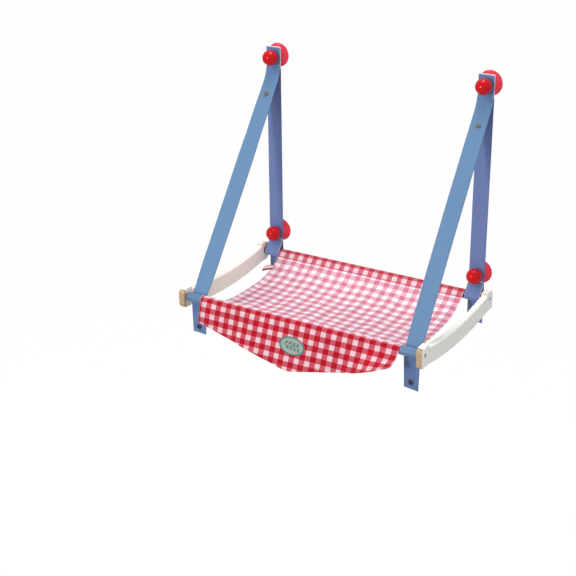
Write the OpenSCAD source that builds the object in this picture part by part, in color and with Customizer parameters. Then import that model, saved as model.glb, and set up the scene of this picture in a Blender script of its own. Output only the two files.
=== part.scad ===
// Window mounted cat perch: a cloth sling between two dowels, hung on webbing straps
// from four suction cups. X runs along the dowels, -Y points into the room, Z is up.
// The glass is the plane y = 0 and the origin lies on it, midway between the four cups.

/* [Suction cups and knobs] */
// Distance between the left and right cup axes
cup_spacing_x = 534; // [480:1:640]
// Distance between the upper and lower cup axes
cup_spacing_z = 436; // [400:1:520]
// Diameter of a cup's rim on the glass
cup_d = 56; // [46:1:58]
// Width of the flat lip that seals on the glass
cup_lip_w = 2.4; // [1.5:0.1:4]
// Depth of the hollow that holds the vacuum
cup_hollow = 6.5; // [4:0.5:8]
// Distance from the glass to the back of the rear strap
cup_stand = 20; // [18:0.5:26]
// Diameter of a cup's neck
cup_neck_d = 22; // [18:1:26]
// Diameter of the threaded stud moulded into a cup
stud_d = 6; // [5:0.5:8]
// Diameter of the stud's buried head
stud_head_d = 14; // [11:0.5:16]
// Thickness of the stud's buried head
stud_head_t = 2; // [1.5:0.1:3]
// Diameter of a knob's ball
knob_d = 36; // [28:1:38]
// Distance from the strap to the middle of a knob's ball
knob_stand = 14; // [10:0.5:16]
// Depth of the threaded hole in a knob
knob_bore_depth = 17; // [12:0.5:20]

/* [Straps] */
// Width of the webbing
strap_w = 38; // [30:1:42]
// Thickness of the webbing
strap_t = 1.6; // [1.2:0.1:2.4]
// Strap left above the upper knobs' axes
strap_top = 24; // [20:1:32]
// How far below the upper knobs the front strap leaves the rear strap
strap_part = 37; // [30:1:50]
// Rear strap hanging below the rear rail's axis
rear_tail = 70; // [40:1:90]
// Height above the rear rail's axis at which its loop leaves the strap
loop_rise = 24; // [20:1:26]
// Length of the rear loop that is sewn flat on the strap
loop_sewn = 6; // [4:0.5:7]
// Share of the front strap, from its bend to the front rail, above its fold
fold_share = 0.605; // [0.59:0.0005:0.62]
// Free tail of the front strap below its loop
front_tail = 81; // [60:1:95]
// Distance from the top of the tail to its snap
snap_on_tail = 68; // [50:1:80]
// Distance from the front strap's upper bend to its snap
snap_on_strap = 54; // [40:1:65]
// Diameter of the two halves of a snap
snap_d = 12.6; // [10:0.2:15]
// Height of a snap's socket ring
snap_socket_h = 3.4; // [2.5:0.1:4.5]
// Diameter of a snap's post
snap_post_d = 5.4; // [4:0.1:6.5]
// Height of a snap's post above its base
snap_post_h = 2.6; // [2:0.1:3.5]
// Thickness of a snap's base and of its rear cap
snap_base_t = 0.9; // [0.6:0.1:1.4]

/* [Frame] */
// Diameter of the wooden rails
rail_d = 18; // [15:0.5:22]
// Distance between the two rails' axes
rail_spacing = 330; // [290:1:360]
// Distance from the lower cups' axes down to the rear rail
rail_drop = 48; // [44:1:70]
// How deep a rail's end sits in an arm
rail_socket = 8; // [5:0.5:11]
// Thickness of a side arm
arm_t = 16; // [13:0.5:20]
// Gap between a strap and the arm beside it
arm_gap = 6; // [3:0.5:9]
// Arm beyond a rail's axis at each end
arm_overhang = 15; // [13:0.5:18]
// Length of the raised head at each end of an arm
arm_head_l = 31; // [27:1:40]
// Height of an arm's head above the rail's axis
arm_head_top = 20; // [16:0.5:25]
// Depth of an arm's head below the rail's axis
arm_head_foot = 27.5; // [23:0.5:32]
// Height of an arm's top edge above the rails' line, mid way
arm_mid_top = 0; // [-4:0.5:6]
// Depth of an arm's lower edge below the rails' line, mid way
arm_mid_foot = 40.5; // [35:0.5:46]
// Radius of an arm's curved top edge
arm_top_r = 860; // [740:10:1000]
// Radius of an arm's curved lower edge
arm_foot_r = 850; // [740:10:1000]
// Rounding of an arm's lower corners
arm_corner_r = 7; // [3:0.5:9]
// Rounding of an arm's upper corners
arm_crown_r = 14; // [8:0.5:16]
// Diameter of a rail screw's head
screw_head_d = 8; // [6:0.5:10]
// Diameter of a rail screw's shank
screw_d = 4; // [3:0.5:5]
// Length of a rail screw
screw_l = 32; // [25:1:40]

/* [Cloth] */
// Gap between the cloth's edge and the loop of a strap
cloth_gap = 2.5; // [1:0.5:12]
// Thickness of the cloth
cloth_t = 1.2; // [0.8:0.1:1.8]
// Sag of the sling below the rails' axes, mid way
cloth_sag = 42; // [25:1:55]
// Flatness of the sling's floor, larger is flatter
sag_power = 3; // [2:0.25:4]
// Length of the front flap at its two ends, below the rail
flap_end = 50; // [35:1:65]
// Length of the front flap in its middle, below the rail
flap_mid = 108; // [85:1:116]
// Angle over which the flap's top wraps the front rail
flap_wrap_angle = 24; // [10:1:40]
// Angle at which the flap stands off from the vertical
flap_flare_angle = 22; // [14:1:28]
// Angle by which the flap's left corner flares further
left_curl_angle = -6; // [-10:1:20]
// Angle by which the flap's right corner flares further
right_curl_angle = 42; // [0:1:50]
// Width of the oval patch
patch_w = 66; // [50:1:80]
// Height of the oval patch
patch_h = 39; // [28:1:48]
// Thickness of the oval patch
patch_t = 1; // [0.6:0.1:1.5]
// Distance from the flap's crease to the middle of the patch
patch_drop = 48; // [40:1:60]
// Width of the ribbon tag on the sling's left edge
tag_w = 15; // [10:1:20]
// How far the ribbon tag stands out of the cloth
tag_l = 26; // [15:1:30]
// Distance from the rear rail to the ribbon tag
tag_place = 47; // [44:1:70]
// Angle at which the ribbon tag droops
tag_droop = 12; // [5:1:25]

/* [Hidden] */

SIDES = [["left", -1], ["right", 1]];
HEIGHTS = [["upper", 1], ["lower", -1]];

// Clearances: between curved faces on different bodies, in the loops, and round a thread
skin_gap = 0.3;
loop_gap = 0.08;
thread_gap = 0.05;
knob_gap = 0.15;
seam_gap = 0.5;

strap_x = cup_spacing_x / 2;
cloth_w = cup_spacing_x - strap_w - 2 * cloth_gap;
z_upper = cup_spacing_z / 2;
z_lower = -cup_spacing_z / 2;
z_top = z_upper + strap_top;
rear_face = -cup_stand - strap_t;
stack_face = rear_face - strap_t;

rail_r = rail_d / 2;
loop_in = rail_r + loop_gap;
loop_out = loop_in + strap_t;
rear_y = rear_face - loop_out - loop_gap;
front_y = rear_y - rail_spacing;
rail_z = z_lower - rail_drop;

arm_in = strap_x + strap_w / 2 + arm_gap;
arm_out = arm_in + arm_t;
arm_half = rail_spacing / 2 + arm_overhang;
arm_mid_y = rear_y - rail_spacing / 2;
rail_half = arm_in + rail_socket;

// The front strap runs from its bend to a line behind the front rail's loop
bend_y = rear_face - strap_t / 2;
bend_z = z_upper - strap_part;
strap_off = loop_out + skin_gap + strap_t / 2;
reach_y = bend_y - front_y;
reach_z = bend_z - rail_z;
reach = norm([reach_y, reach_z]);
strap_run = sqrt(reach * reach - strap_off * strap_off);
strap_lean = atan2(reach_y, reach_z) - asin(strap_off / reach);
upper_run = strap_run * fold_share;
lower_run = strap_run - upper_run;
seam_y = front_y + strap_off * cos(strap_lean);
seam_z = rail_z - strap_off * sin(strap_lean);

sleeve_out = rail_r + cloth_t;
flap_r = sleeve_out + skin_gap + cloth_t / 2;
cloth_top = rail_r + cloth_t / 2;
cloth_steps = 48;
flap_columns = 32;
flap_rows = 6;
wrap_rows = 3;

// Height of the sling's middle surface at a share of the way from mid to a rail
function sling_z(share) =
    rail_z + cloth_top - (cloth_sag + cloth_top) * (1 - pow(abs(share), sag_power));

// A smooth step from 0 to 1 between two values
function ease(a, b, t) =
    let (s = max(0, min(1, (t - a) / (b - a)))) s * s * (3 - 2 * s);

// Turns a profile of [radius, depth] so that its depth runs into the room
module lathe(steps = 96) {
    rotate([90, 0, 0]) rotate_extrude($fn = steps) children();
}

// A strip of webbing whose back face starts at the origin and that hangs down
module strip(length) {
    translate([-strap_w / 2, -strap_t, -length]) cube([strap_w, strap_t, length]);
}

// Places a child at the front strap's bend, leaning along the strap
module along_strap(distance) {
    translate([0, bend_y, bend_z]) rotate([-strap_lean, 0, 0])
        translate([0, 0, -distance]) children();
}

// A tube along X round the origin
module tube_x(r_out, r_in, length) {
    rotate([0, 90, 0]) difference() {
        cylinder(r = r_out, h = length, center = true, $fn = 96);
        cylinder(r = r_in, h = length + 2, center = true, $fn = 96);
    }
}

module suction_cup() {
    r = cup_d / 2;
    neck = cup_neck_d / 2;
    tall = cup_stand;
    color([0.82, 0.07, 0.08]) difference() {
        lathe() difference() {
            polygon([
                [0, 0], [r, 0], [r, tall * 0.05], [r - cup_lip_w * 0.9, tall * 0.13],
                [r * 0.78, tall * 0.28], [r * 0.6, tall * 0.45], [neck * 1.14, tall * 0.62],
                [neck, tall * 0.72], [neck, tall], [0, tall]
            ]);
            polygon([
                [-1, -1], [r - cup_lip_w, -1], [r - cup_lip_w, 0], [r * 0.78, cup_hollow * 0.37],
                [r * 0.5, cup_hollow * 0.85], [0, cup_hollow], [-1, cup_hollow]
            ]);
        }
        stud_solid();
    }
}

// The stud's shape, with its head buried in the neck
module stud_solid() {
    head_at = cup_hollow + 1.5 * stud_head_t;
    translate([0, -head_at, 0]) rotate([90, 0, 0])
        cylinder(d = stud_head_d, h = stud_head_t, $fn = 64);
    translate([0, -head_at, 0]) rotate([90, 0, 0])
        cylinder(d = stud_d, h = cup_stand - head_at + 2 * strap_t + knob_bore_depth - stud_head_t, $fn = 64);
}

module cup_stud() {
    color([0.72, 0.72, 0.7]) stud_solid();
}

// A ball with a flat on the strap's side and a blind hole for the stud
module knob(seat_face) {
    color([0.8, 0.03, 0.05]) translate([0, seat_face - knob_gap, 0]) lathe() difference() {
        intersection() {
            translate([0, knob_stand]) circle(d = knob_d, $fn = 96);
            square([knob_d, 2 * knob_d]);
        }
        translate([-1, -1]) square([stud_d / 2 + thread_gap + 1, knob_bore_depth + strap_t + 1]);
    }
}

module stud_hole() {
    translate([0, 1, 0]) rotate([90, 0, 0])
        cylinder(d = stud_d * 1.1, h = 2 * strap_t + 2, $fn = 64);
}

module rear_strap() {
    color([0.42, 0.52, 0.72]) difference() {
        translate([0, -cup_stand, z_top]) strip(z_top - rail_z + rear_tail);
        for (z = [z_upper, z_lower]) translate([0, -cup_stand, z]) stud_hole();
    }
}

module front_strap_tab() {
    color([0.44, 0.56, 0.75]) difference() {
        translate([0, rear_face, z_top]) strip(z_top - bend_z - seam_gap);
        translate([0, rear_face, z_upper]) stud_hole();
    }
}

module snap_hole(r) {
    rotate([90, 0, 0]) cylinder(r = r, h = 4 * strap_t, center = true, $fn = 48);
}

module front_strap_upper() {
    color([0.44, 0.59, 0.76]) along_strap(0) difference() {
        translate([0, strap_t / 2, -seam_gap]) strip(upper_run - 2 * seam_gap);
        translate([0, 0, -snap_on_strap]) snap_hole(snap_post_d / 4);
    }
}

module front_strap_lower() {
    color([0.44, 0.59, 0.76]) along_strap(upper_run)
        translate([0, strap_t / 2, -seam_gap]) strip(lower_run - 2 * seam_gap);
}

module front_strap_tail() {
    color([0.36, 0.47, 0.68]) translate([0, seam_y, seam_z]) difference() {
        translate([0, strap_t / 2, -strap_t]) strip(front_tail - strap_t);
        translate([0, 0, -snap_on_tail]) snap_hole(snap_post_d / 4);
    }
}

module front_strap_loop() {
    color([0.47, 0.66, 0.86]) translate([0, front_y, rail_z]) tube_x(loop_out, loop_in, strap_w);
}

// The rear loop is a tear drop: it is sewn flat on the strap, and both its legs run to the tube
module rear_strap_loop() {
    fuse = strap_t / 16;
    mid = loop_in + strap_t / 2;
    t = strap_t / 2 - fuse;
    lean = 2 * atan2(loop_rise, mid);
    high = [mid, loop_rise];
    low = [cos(lean), sin(lean)] * mid;
    out = [cos(lean), sin(lean)] * t;
    color([0.47, 0.66, 0.86]) translate([-strap_w / 2, rear_y, rail_z]) rotate([90, 0, 90])
        linear_extrude(strap_w) {
            difference() {
                circle(r = loop_out, $fn = 96);
                circle(r = loop_in, $fn = 96);
            }
            translate([mid - t, 0]) square([2 * t, loop_rise + loop_sewn]);
            polygon([high + out, high - out, low - out, low + out]);
        }
}

// Rivet barrel and rear cap that hold either half of a snap on its strip
module snap_rivet() {
    rotate([90, 0, 0]) {
        cylinder(d = snap_post_d / 2, h = strap_t * 1.25, center = true, $fn = 48);
        translate([0, 0, -strap_t / 2 - snap_base_t]) cylinder(d = snap_d, h = snap_base_t, $fn = 64);
    }
}

module snap_stud() {
    color([0.75, 0.72, 0.62]) along_strap(snap_on_strap) {
        snap_rivet();
        rotate([90, 0, 0]) translate([0, 0, strap_t / 2]) {
            cylinder(d = snap_d, h = snap_base_t, $fn = 64);
            cylinder(d = snap_post_d * 0.86, h = snap_base_t + snap_post_h, $fn = 48);
            translate([0, 0, snap_base_t + snap_post_h * 0.55])
                cylinder(d = snap_post_d, h = snap_post_h * 0.45, $fn = 48);
        }
    }
}

module snap_socket() {
    color([0.3, 0.3, 0.32]) translate([0, seam_y, seam_z - snap_on_tail]) {
        snap_rivet();
        rotate([90, 0, 0]) translate([0, 0, strap_t / 2]) difference() {
            cylinder(d = snap_d, h = snap_socket_h, $fn = 64);
            translate([0, 0, snap_base_t]) cylinder(d = snap_post_d * 1.08, h = snap_socket_h, $fn = 48);
        }
    }
}

// A wooden dowel with a pilot hole in each end
module rail(y) {
    color([0.45, 0.3, 0.2]) translate([0, y, rail_z]) rotate([0, 90, 0]) difference() {
        cylinder(r = rail_r, h = 2 * rail_half, center = true, $fn = 96);
        for (end = [-1, 1]) translate([0, 0, end * (arm_out - screw_l)])
            rotate([0, end * 90 - 90, 0]) cylinder(d = screw_d, h = 2 * screw_l, $fn = 48);
    }
}

// Side view of an arm's raised head, at the arm's positive end
module arm_head() {
    tall = arm_head_top + arm_head_foot;
    low = arm_corner_r;
    high = arm_crown_r;
    translate([arm_half - arm_head_l, -arm_head_foot]) square([arm_head_l - high, tall]);
    translate([arm_half - arm_head_l, -arm_head_foot]) square([arm_head_l - low, tall - high]);
    translate([arm_half - arm_head_l, low - arm_head_foot]) square([arm_head_l, tall - high - low]);
    translate([arm_half - low, low - arm_head_foot]) circle(r = low, $fn = 48);
    translate([arm_half - high, arm_head_top - high]) circle(r = high, $fn = 64);
}

// Side view of an arm: a bar between two arcs, with a head at each end
module arm_side() {
    bar = arm_half - arm_head_l + 1;
    difference() {
        intersection() {
            translate([-bar, -arm_mid_foot]) square([2 * bar, arm_mid_foot + arm_head_top]);
            translate([0, arm_foot_r - arm_mid_foot]) circle(r = arm_foot_r, $fn = 360);
        }
        translate([0, arm_top_r + arm_mid_top]) circle(r = arm_top_r, $fn = 360);
    }
    arm_head();
    mirror([1, 0]) arm_head();
}

module side_arm(side) {
    color([0.93, 0.9, 0.83]) difference() {
        translate([side > 0 ? arm_in : -arm_out, arm_mid_y, rail_z])
            rotate([90, 0, 90]) linear_extrude(arm_t) arm_side();
        for (y = [front_y, rear_y]) translate([0, y, rail_z]) rotate([0, side * 90, 0]) {
            translate([0, 0, arm_in - 1]) cylinder(r = rail_r, h = rail_socket + 1, $fn = 96);
            translate([0, 0, arm_in]) cylinder(d = screw_d, h = arm_t + 1, $fn = 48);
            translate([0, 0, arm_out - screw_head_d / 2 + screw_d / 2])
                cylinder(d1 = screw_d, d2 = screw_head_d, h = (screw_head_d - screw_d) / 2, $fn = 48);
        }
    }
}

module rail_screws() {
    color([0.25, 0.25, 0.27]) for (side = [-1, 1], y = [front_y, rear_y])
        translate([0, y, rail_z]) rotate([0, side * 90, 0]) translate([0, 0, arm_out - screw_l]) {
            cylinder(d = screw_d, h = screw_l, $fn = 48);
            translate([0, 0, screw_l - (screw_head_d - screw_d) / 2])
                cylinder(d1 = screw_d, d2 = screw_head_d, h = (screw_head_d - screw_d) / 2, $fn = 48);
        }
}

// The sling: a sleeve round each rail and a sagging sheet between them
module seat_cloth() {
    half = rail_spacing / 2;
    shares = [for (i = [0 : cloth_steps]) 2 * i / cloth_steps - 1];
    color([0.9, 0.45, 0.52]) difference() {
        union() {
            translate([-cloth_w / 2, 0, 0]) rotate([90, 0, 90]) linear_extrude(cloth_w) polygon(concat(
                [for (s = shares) [arm_mid_y + s * half, sling_z(s) + cloth_t / 2]],
                [for (s = shares) [arm_mid_y - s * half, sling_z(s) - cloth_t / 2]]
            ));
            for (y = [front_y, rear_y]) translate([0, y, rail_z]) rotate([0, 90, 0])
                cylinder(r = sleeve_out, h = cloth_w, center = true, $fn = 96);
        }
        for (y = [front_y, rear_y]) translate([0, y, rail_z]) rotate([0, 90, 0])
            cylinder(r = rail_r, h = cloth_w + 2, center = true, $fn = 96);
    }
}

// Flare of the flap at a place across it, from -1 at the left end to 1 at the right
function flare_at(across) =
    flap_flare_angle + left_curl_angle * ease(0.45, 1, -across) + right_curl_angle * ease(0.5, 1, across);

// A point of the flap, offset from its middle surface towards the room. Its rows go
// down round the rail to row 0, and then along the flap's fall to its lower edge.
function flap_point(across, row, offset) =
    let (
        down = max(0, row) / flap_rows,
        angle = flap_flare_angle + flap_wrap_angle * max(0, -row) / wrap_rows,
        flare = flap_flare_angle + (flare_at(across) - flap_flare_angle) * down,
        long = flap_end + (flap_mid - flap_end) * (1 - abs(across)),
        top = [-cos(angle), sin(angle)] * (flap_r + offset),
        fall = [-sin(flare), -cos(flare)] * long * down
    )
    [across * cloth_w / 2, front_y + top.x + fall.x, rail_z + top.y + fall.y];

module front_flap() {
    n = flap_columns;
    m = flap_rows + wrap_rows;
    back = (n + 1) * (m + 1);
    points = [
        for (offset = [cloth_t / 2, -cloth_t / 2], j = [0 : m], i = [0 : n])
            flap_point(2 * i / n - 1, j - wrap_rows, offset)
    ];
    at = function (i, j) j * (n + 1) + i;
    quads = concat(
        [for (j = [0 : m - 1], i = [0 : n - 1]) [at(i, j), at(i + 1, j), at(i + 1, j + 1), at(i, j + 1)]],
        [for (j = [0 : m - 1], i = [0 : n - 1])
            [back + at(i, j), back + at(i, j + 1), back + at(i + 1, j + 1), back + at(i + 1, j)]],
        [for (i = [0 : n - 1]) [at(i, 0), back + at(i, 0), back + at(i + 1, 0), at(i + 1, 0)]],
        [for (i = [0 : n - 1]) [at(i, m), at(i + 1, m), back + at(i + 1, m), back + at(i, m)]],
        [for (j = [0 : m - 1]) [at(0, j), at(0, j + 1), back + at(0, j + 1), back + at(0, j)]],
        [for (j = [0 : m - 1]) [at(n, j), back + at(n, j), back + at(n, j + 1), at(n, j + 1)]]
    );
    faces = [for (q = quads, half = [[0, 1, 2], [0, 2, 3]]) [for (k = half) q[k]]];
    color([0.78, 0.12, 0.2]) polyhedron(points, faces);
}

module flap_patch() {
    steps = 48;
    color([0.78, 0.83, 0.72]) translate([0, front_y, rail_z]) rotate([-flap_flare_angle, 0, 0])
        translate([0, -flap_r - cloth_t / 2, -patch_drop]) rotate([90, 0, 0]) linear_extrude(patch_t)
            polygon([for (i = [0 : steps - 1])
                [patch_w / 2 * cos(360 * i / steps), patch_h / 2 * sin(360 * i / steps)]]);
}

// A folded ribbon that stands out of the sling's left edge
module side_tag() {
    share = 1 - tag_place / (rail_spacing / 2);
    lean = atan2(sling_z(share + 0.01) - sling_z(share - 0.01), 0.01 * rail_spacing);
    color([0.85, 0.2, 0.25]) translate([-cloth_w / 2, rear_y - tag_place, sling_z(share)])
        rotate([lean, 0, 0]) rotate([0, -tag_droop, 0])
            translate([-tag_l, -tag_w / 2, -cloth_t * 0.6]) cube([tag_l, tag_w, cloth_t * 1.2]);
}

for (h = HEIGHTS, s = SIDES) {
    place = [s[1] * strap_x, 0, h[1] * z_upper];
    translate(place) suction_cup();
    translate(place) cup_stud();
    translate(place) knob(h[1] > 0 ? stack_face : rear_face);
}
for (s = SIDES) {
    place = [s[1] * strap_x, 0, 0];
    translate(place) rear_strap();
    translate(place) rear_strap_loop();
    translate(place) front_strap_tab();
    translate(place) front_strap_upper();
    translate(place) front_strap_lower();
    translate(place) front_strap_tail();
    translate(place) front_strap_loop();
    translate(place) snap_stud();
    translate(place) snap_socket();
    side_arm(s[1]);
}
rail(front_y);  // front_rail
rail(rear_y);  // rear_rail
rail_screws();
seat_cloth();
front_flap();
flap_patch();
side_tag();
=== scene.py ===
import math

import bmesh
import bpy
import numpy as np
from bpy.props import FloatProperty, FloatVectorProperty, PointerProperty
from mathutils import Matrix, Vector


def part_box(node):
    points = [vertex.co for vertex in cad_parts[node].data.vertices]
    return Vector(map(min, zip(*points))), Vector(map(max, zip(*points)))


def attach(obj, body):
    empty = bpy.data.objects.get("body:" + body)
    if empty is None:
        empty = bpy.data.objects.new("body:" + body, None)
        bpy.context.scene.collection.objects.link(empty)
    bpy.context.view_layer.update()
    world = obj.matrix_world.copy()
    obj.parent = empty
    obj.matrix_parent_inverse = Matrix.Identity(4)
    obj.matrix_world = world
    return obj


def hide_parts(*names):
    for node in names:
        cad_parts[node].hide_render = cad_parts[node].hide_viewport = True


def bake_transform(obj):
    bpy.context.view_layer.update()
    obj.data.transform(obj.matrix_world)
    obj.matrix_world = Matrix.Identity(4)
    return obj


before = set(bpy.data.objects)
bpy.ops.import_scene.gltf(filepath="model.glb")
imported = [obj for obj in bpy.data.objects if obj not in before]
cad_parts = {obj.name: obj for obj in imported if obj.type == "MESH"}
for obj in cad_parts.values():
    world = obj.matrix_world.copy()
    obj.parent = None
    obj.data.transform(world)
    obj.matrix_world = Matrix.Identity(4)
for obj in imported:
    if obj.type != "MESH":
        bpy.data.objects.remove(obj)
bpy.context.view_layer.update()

bl_info = {
    "name": "Window mounted cat perch",
    "version": (1, 0, 0),
    "blender": (4, 5, 0),
    "location": "View3D > Sidebar > Cat perch",
    "description": "Dresses a strap-hung cat perch with cloth, webbing, wood and plastic",
    "category": "Object",
}

MM = 0.001
SIDES = (("left", -1.0), ("right", 1.0))
CORNERS = ("upper_left", "upper_right", "lower_left", "lower_right")


def middle(node):
    """Middle of a CAD node's box, in metres."""
    low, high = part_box(node)
    return (np.array(low, float) + np.array(high, float)) / 2


def extent(node):
    """Size of a CAD node's box along X, Y and Z, in metres."""
    low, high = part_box(node)
    return np.array(high, float) - np.array(low, float)


FRONT = middle("front_rail")
REAR = middle("rear_rail")
RAIL_R = extent("rear_rail")[2] / 2
SEAT_HALF = extent("seat_cloth")[0] / 2
STRAP_X = middle("rear_strap_right")[0]
STRAP_W = extent("rear_strap_right")[0]
STRAP_T = extent("rear_strap_right")[1]
STRAP_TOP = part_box("rear_strap_right")[1][2]
REAR_STRAP_Y = middle("rear_strap_right")[1]
TAB_Y = middle("front_strap_tab_right")[1]
MID_Y = (REAR[1] + FRONT[1]) / 2
HALF_SPAN = (REAR[1] - FRONT[1]) / 2
ARM_X = float(np.abs(middle("side_arm_right")[0]))
STRAP_STEP, STRAP_EDGE = 0.0030, 0.0008  # columns across the webbing, and the round of its edges
STRAP_CUT = 0.0007  # the round of the webbing's cut ends
STITCH_LIFT = 0.0001  # a stitch's middle above the cloth
WELD = 2e-6  # points nearer than this are joined
FACETS = 96  # facets round a turned cup or knob
BEAD_SIDES = 6  # facets round a stitch


def colour_of(red, green, blue):
    """Screen colour from 0 to 255 a channel, as the linear colour that a shader takes."""
    c = np.array([red, green, blue], float) / 255
    lin = np.where(c <= 0.04045, c / 12.92, ((c + 0.055) / 1.055) ** 2.4)
    return tuple(float(v) for v in lin)


def shade(colour, share):
    """Colour with each channel times a share, and 1 at most."""
    return tuple(min(1.0, c * share) for c in colour)


def length_prop(name, description, default):
    """A length in metres that isn't negative."""
    return FloatProperty(name=name, description=description, default=default, unit="LENGTH",
                         precision=5, min=0.0)


def angle_prop(name, description, degrees):
    """An angle given in degrees and kept in radians."""
    return FloatProperty(name=name, description=description, default=math.radians(degrees),
                         subtype="ANGLE")


def place_prop(name, description, default):
    """A place or shift in metres, of either sign."""
    return FloatProperty(name=name, description=description, default=default, unit="LENGTH",
                         precision=5)


def colour_prop(name, description, red, green, blue):
    """A colour given in screen values and kept in the linear values that a shader takes."""
    return FloatVectorProperty(name=name, description=description, size=3, min=0.0, max=1.0,
                               default=colour_of(red, green, blue), subtype="COLOR")


class PerchClothSizes(bpy.types.PropertyGroup):
    """Sizes of the sling, its flap, the patch and the tag"""

    cloth_t: length_prop("Cloth thickness", "Thickness of one layer of gingham", 0.0012)
    sag: length_prop("Sag", "Depth of the sling below the rails' axes, mid way", 0.042)
    floor_power: FloatProperty(name="Floor power", default=3.0,
                               description="Power of the sling's curve, larger is flatter")
    leave_angle: angle_prop("Leave angle", "Slope at which the cloth leaves a rail", 47.0)
    seam_run: length_prop("Seam run", "Cloth between a rail and the seam of its sleeve", 0.0140)
    front_white: length_prop("Front white row", "White row before the cloth leaves the front rail", 0.0056)
    rear_red: length_prop("Rear red row", "Red row past the place where cloth and rear rail meet", 0.0065)
    repeat_x: length_prop("Check width", "Repeat of the gingham along the rails", 0.0255)
    repeat_y: length_prop("Check length", "Repeat of the gingham along the seat", 0.0234)
    check_x: length_prop("Check column", "Place of a deep red column along the rails", 0.0075)
    check_y: place_prop("Check row", "Place of a deep red row along the seat's floor", -0.147)
    flap_check: length_prop("Flap row", "First deep red row below the flap's tangent", 0.0201)
    flap_end: length_prop("Flap ends", "Fall of the flap at its two ends", 0.050)
    flap_mid: length_prop("Flap middle", "Fall of the flap in its middle", 0.107)
    flap_flare: angle_prop("Flap flare", "Angle between the flap and the vertical", 22.0)
    flap_wrap: angle_prop("Flap wrap", "Angle of the flap's top round the rail", 38.0)
    left_curl: angle_prop("Left curl", "Further flare of the flap's left corner", -6.0)
    right_curl: angle_prop("Right curl", "Further flare of the flap's right corner", 42.0)
    wide_left: length_prop("Left ease", "Further width of the cloth's left half at the front rail", 0.0020)
    wide_right: length_prop("Right ease", "Further width of the cloth's right half at the front rail", 0.0055)
    right_drop: length_prop("Right drop", "Further fall of the flap near its right end", 0.0050)
    patch_x: length_prop("Patch place", "Patch's middle to the right of the seat's middle", 0.0035)
    flap_gap: length_prop("Flap gap", "Gap between the flap's top and the sleeve", 0.0003)
    patch_w: length_prop("Patch width", "Width of the oval patch", 0.066)
    patch_h: length_prop("Patch height", "Height of the oval patch", 0.039)
    patch_drop: length_prop("Patch drop", "Patch's middle below the flap's tangent", 0.049)
    patch_turn: angle_prop("Patch turn", "Turn of the sewn patch on the flap", 6.0)
    tag_w: length_prop("Tag width", "Width of the folded ribbon", 0.015)
    tag_l: length_prop("Tag length", "How far the ribbon stands out", 0.026)
    tag_place: length_prop("Tag place", "Ribbon's distance from the rear rail", 0.047)
    tag_fall: angle_prop("Tag fall", "Slope of the ribbon below the level", 13.0)
    tag_droop: length_prop("Tag droop", "How far the ribbon's tip bows below that slope", 0.0045)


class PerchStrapSizes(bpy.types.PropertyGroup):
    """Places and sizes along the webbing straps"""

    bend_z: length_prop("Bend", "Height of the front strap's upper bend", 0.181)
    seam_y: place_prop("Tail depth", "Place of the tail's top, in front of the glass", -0.35284)
    seam_z: place_prop("Tail top", "Height of the tail's top", -0.27293)
    tail: length_prop("Tail", "Length of the front strap's free tail", 0.084)
    shift_left: place_prop("Left shift", "Place of the left front loop, right of its CAD place", -0.0020)
    shift_right: place_prop("Right shift", "Place of the right front loop, right of its CAD place", 0.0052)
    loop_rise: length_prop("Loop rise", "Height at which a rear loop leaves its strap", 0.0295)
    loop_sewn: length_prop("Loop sewn", "Length of a rear loop sewn flat", 0.0035)
    loop_loose: length_prop("Loop looseness", "Gap between a rear loop and its rail in front", 0.0014)
    upper_share: FloatProperty(name="Fold place", default=0.605, min=0.5, max=0.7,
                               description="Share of the slanted stretch above its fold")
    snap_on_strap: length_prop("Snap on strap", "Distance from the bend to its snap", 0.054)
    snap_on_tail: length_prop("Snap on tail", "Distance from the tail's top to its snap", 0.068)
    twist_left: angle_prop("Left twist", "Twist of the left tail", 5.0)
    twist_right: angle_prop("Right twist", "Twist of the right tail", 11.0)
    sway_left: angle_prop("Left sway", "Turn of the left slant about its length", -14.0)
    sway_right: angle_prop("Right sway", "Turn of the right slant about its length", -5.0)


class PerchArmSizes(bpy.types.PropertyGroup):
    """Sizes of the two wooden side arms"""

    half: length_prop("Half length", "Half the length of an arm", 0.180)
    thick: length_prop("Thickness", "Thickness of an arm", 0.016)
    head_l: length_prop("Head length", "Length of the raised head at each end", 0.031)
    head_top: length_prop("Head top", "Top of the head above the rail's axis", 0.020)
    head_foot: length_prop("Head foot", "Foot of the head below the rail's axis", 0.0275)
    mid_foot: length_prop("Middle foot", "Foot of the bar mid way", 0.0405)
    top_r: length_prop("Top radius", "Radius of the bar's top edge", 0.860)
    foot_r: length_prop("Foot radius", "Radius of the bar's lower edge", 0.850)
    corner_left: length_prop("Left corner radius", "Rounding of the left head's lower corners", 0.0150)
    corner_right: length_prop("Right corner radius", "Rounding of the right head's lower corners", 0.007)
    crown_r: length_prop("Crown radius", "Rounding of the head's upper corners", 0.014)
    edge_r: length_prop("Edge radius", "Rounding of the long edges", 0.0038)
    sink: length_prop("Countersink", "Depth of the hollow over a screw", 0.0022)
    band: length_prop("Band pitch", "Pitch of the soft bands across the bar", 0.0115)
    band_h: length_prop("Band relief", "Relief of the bands", 0.0006)


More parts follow.
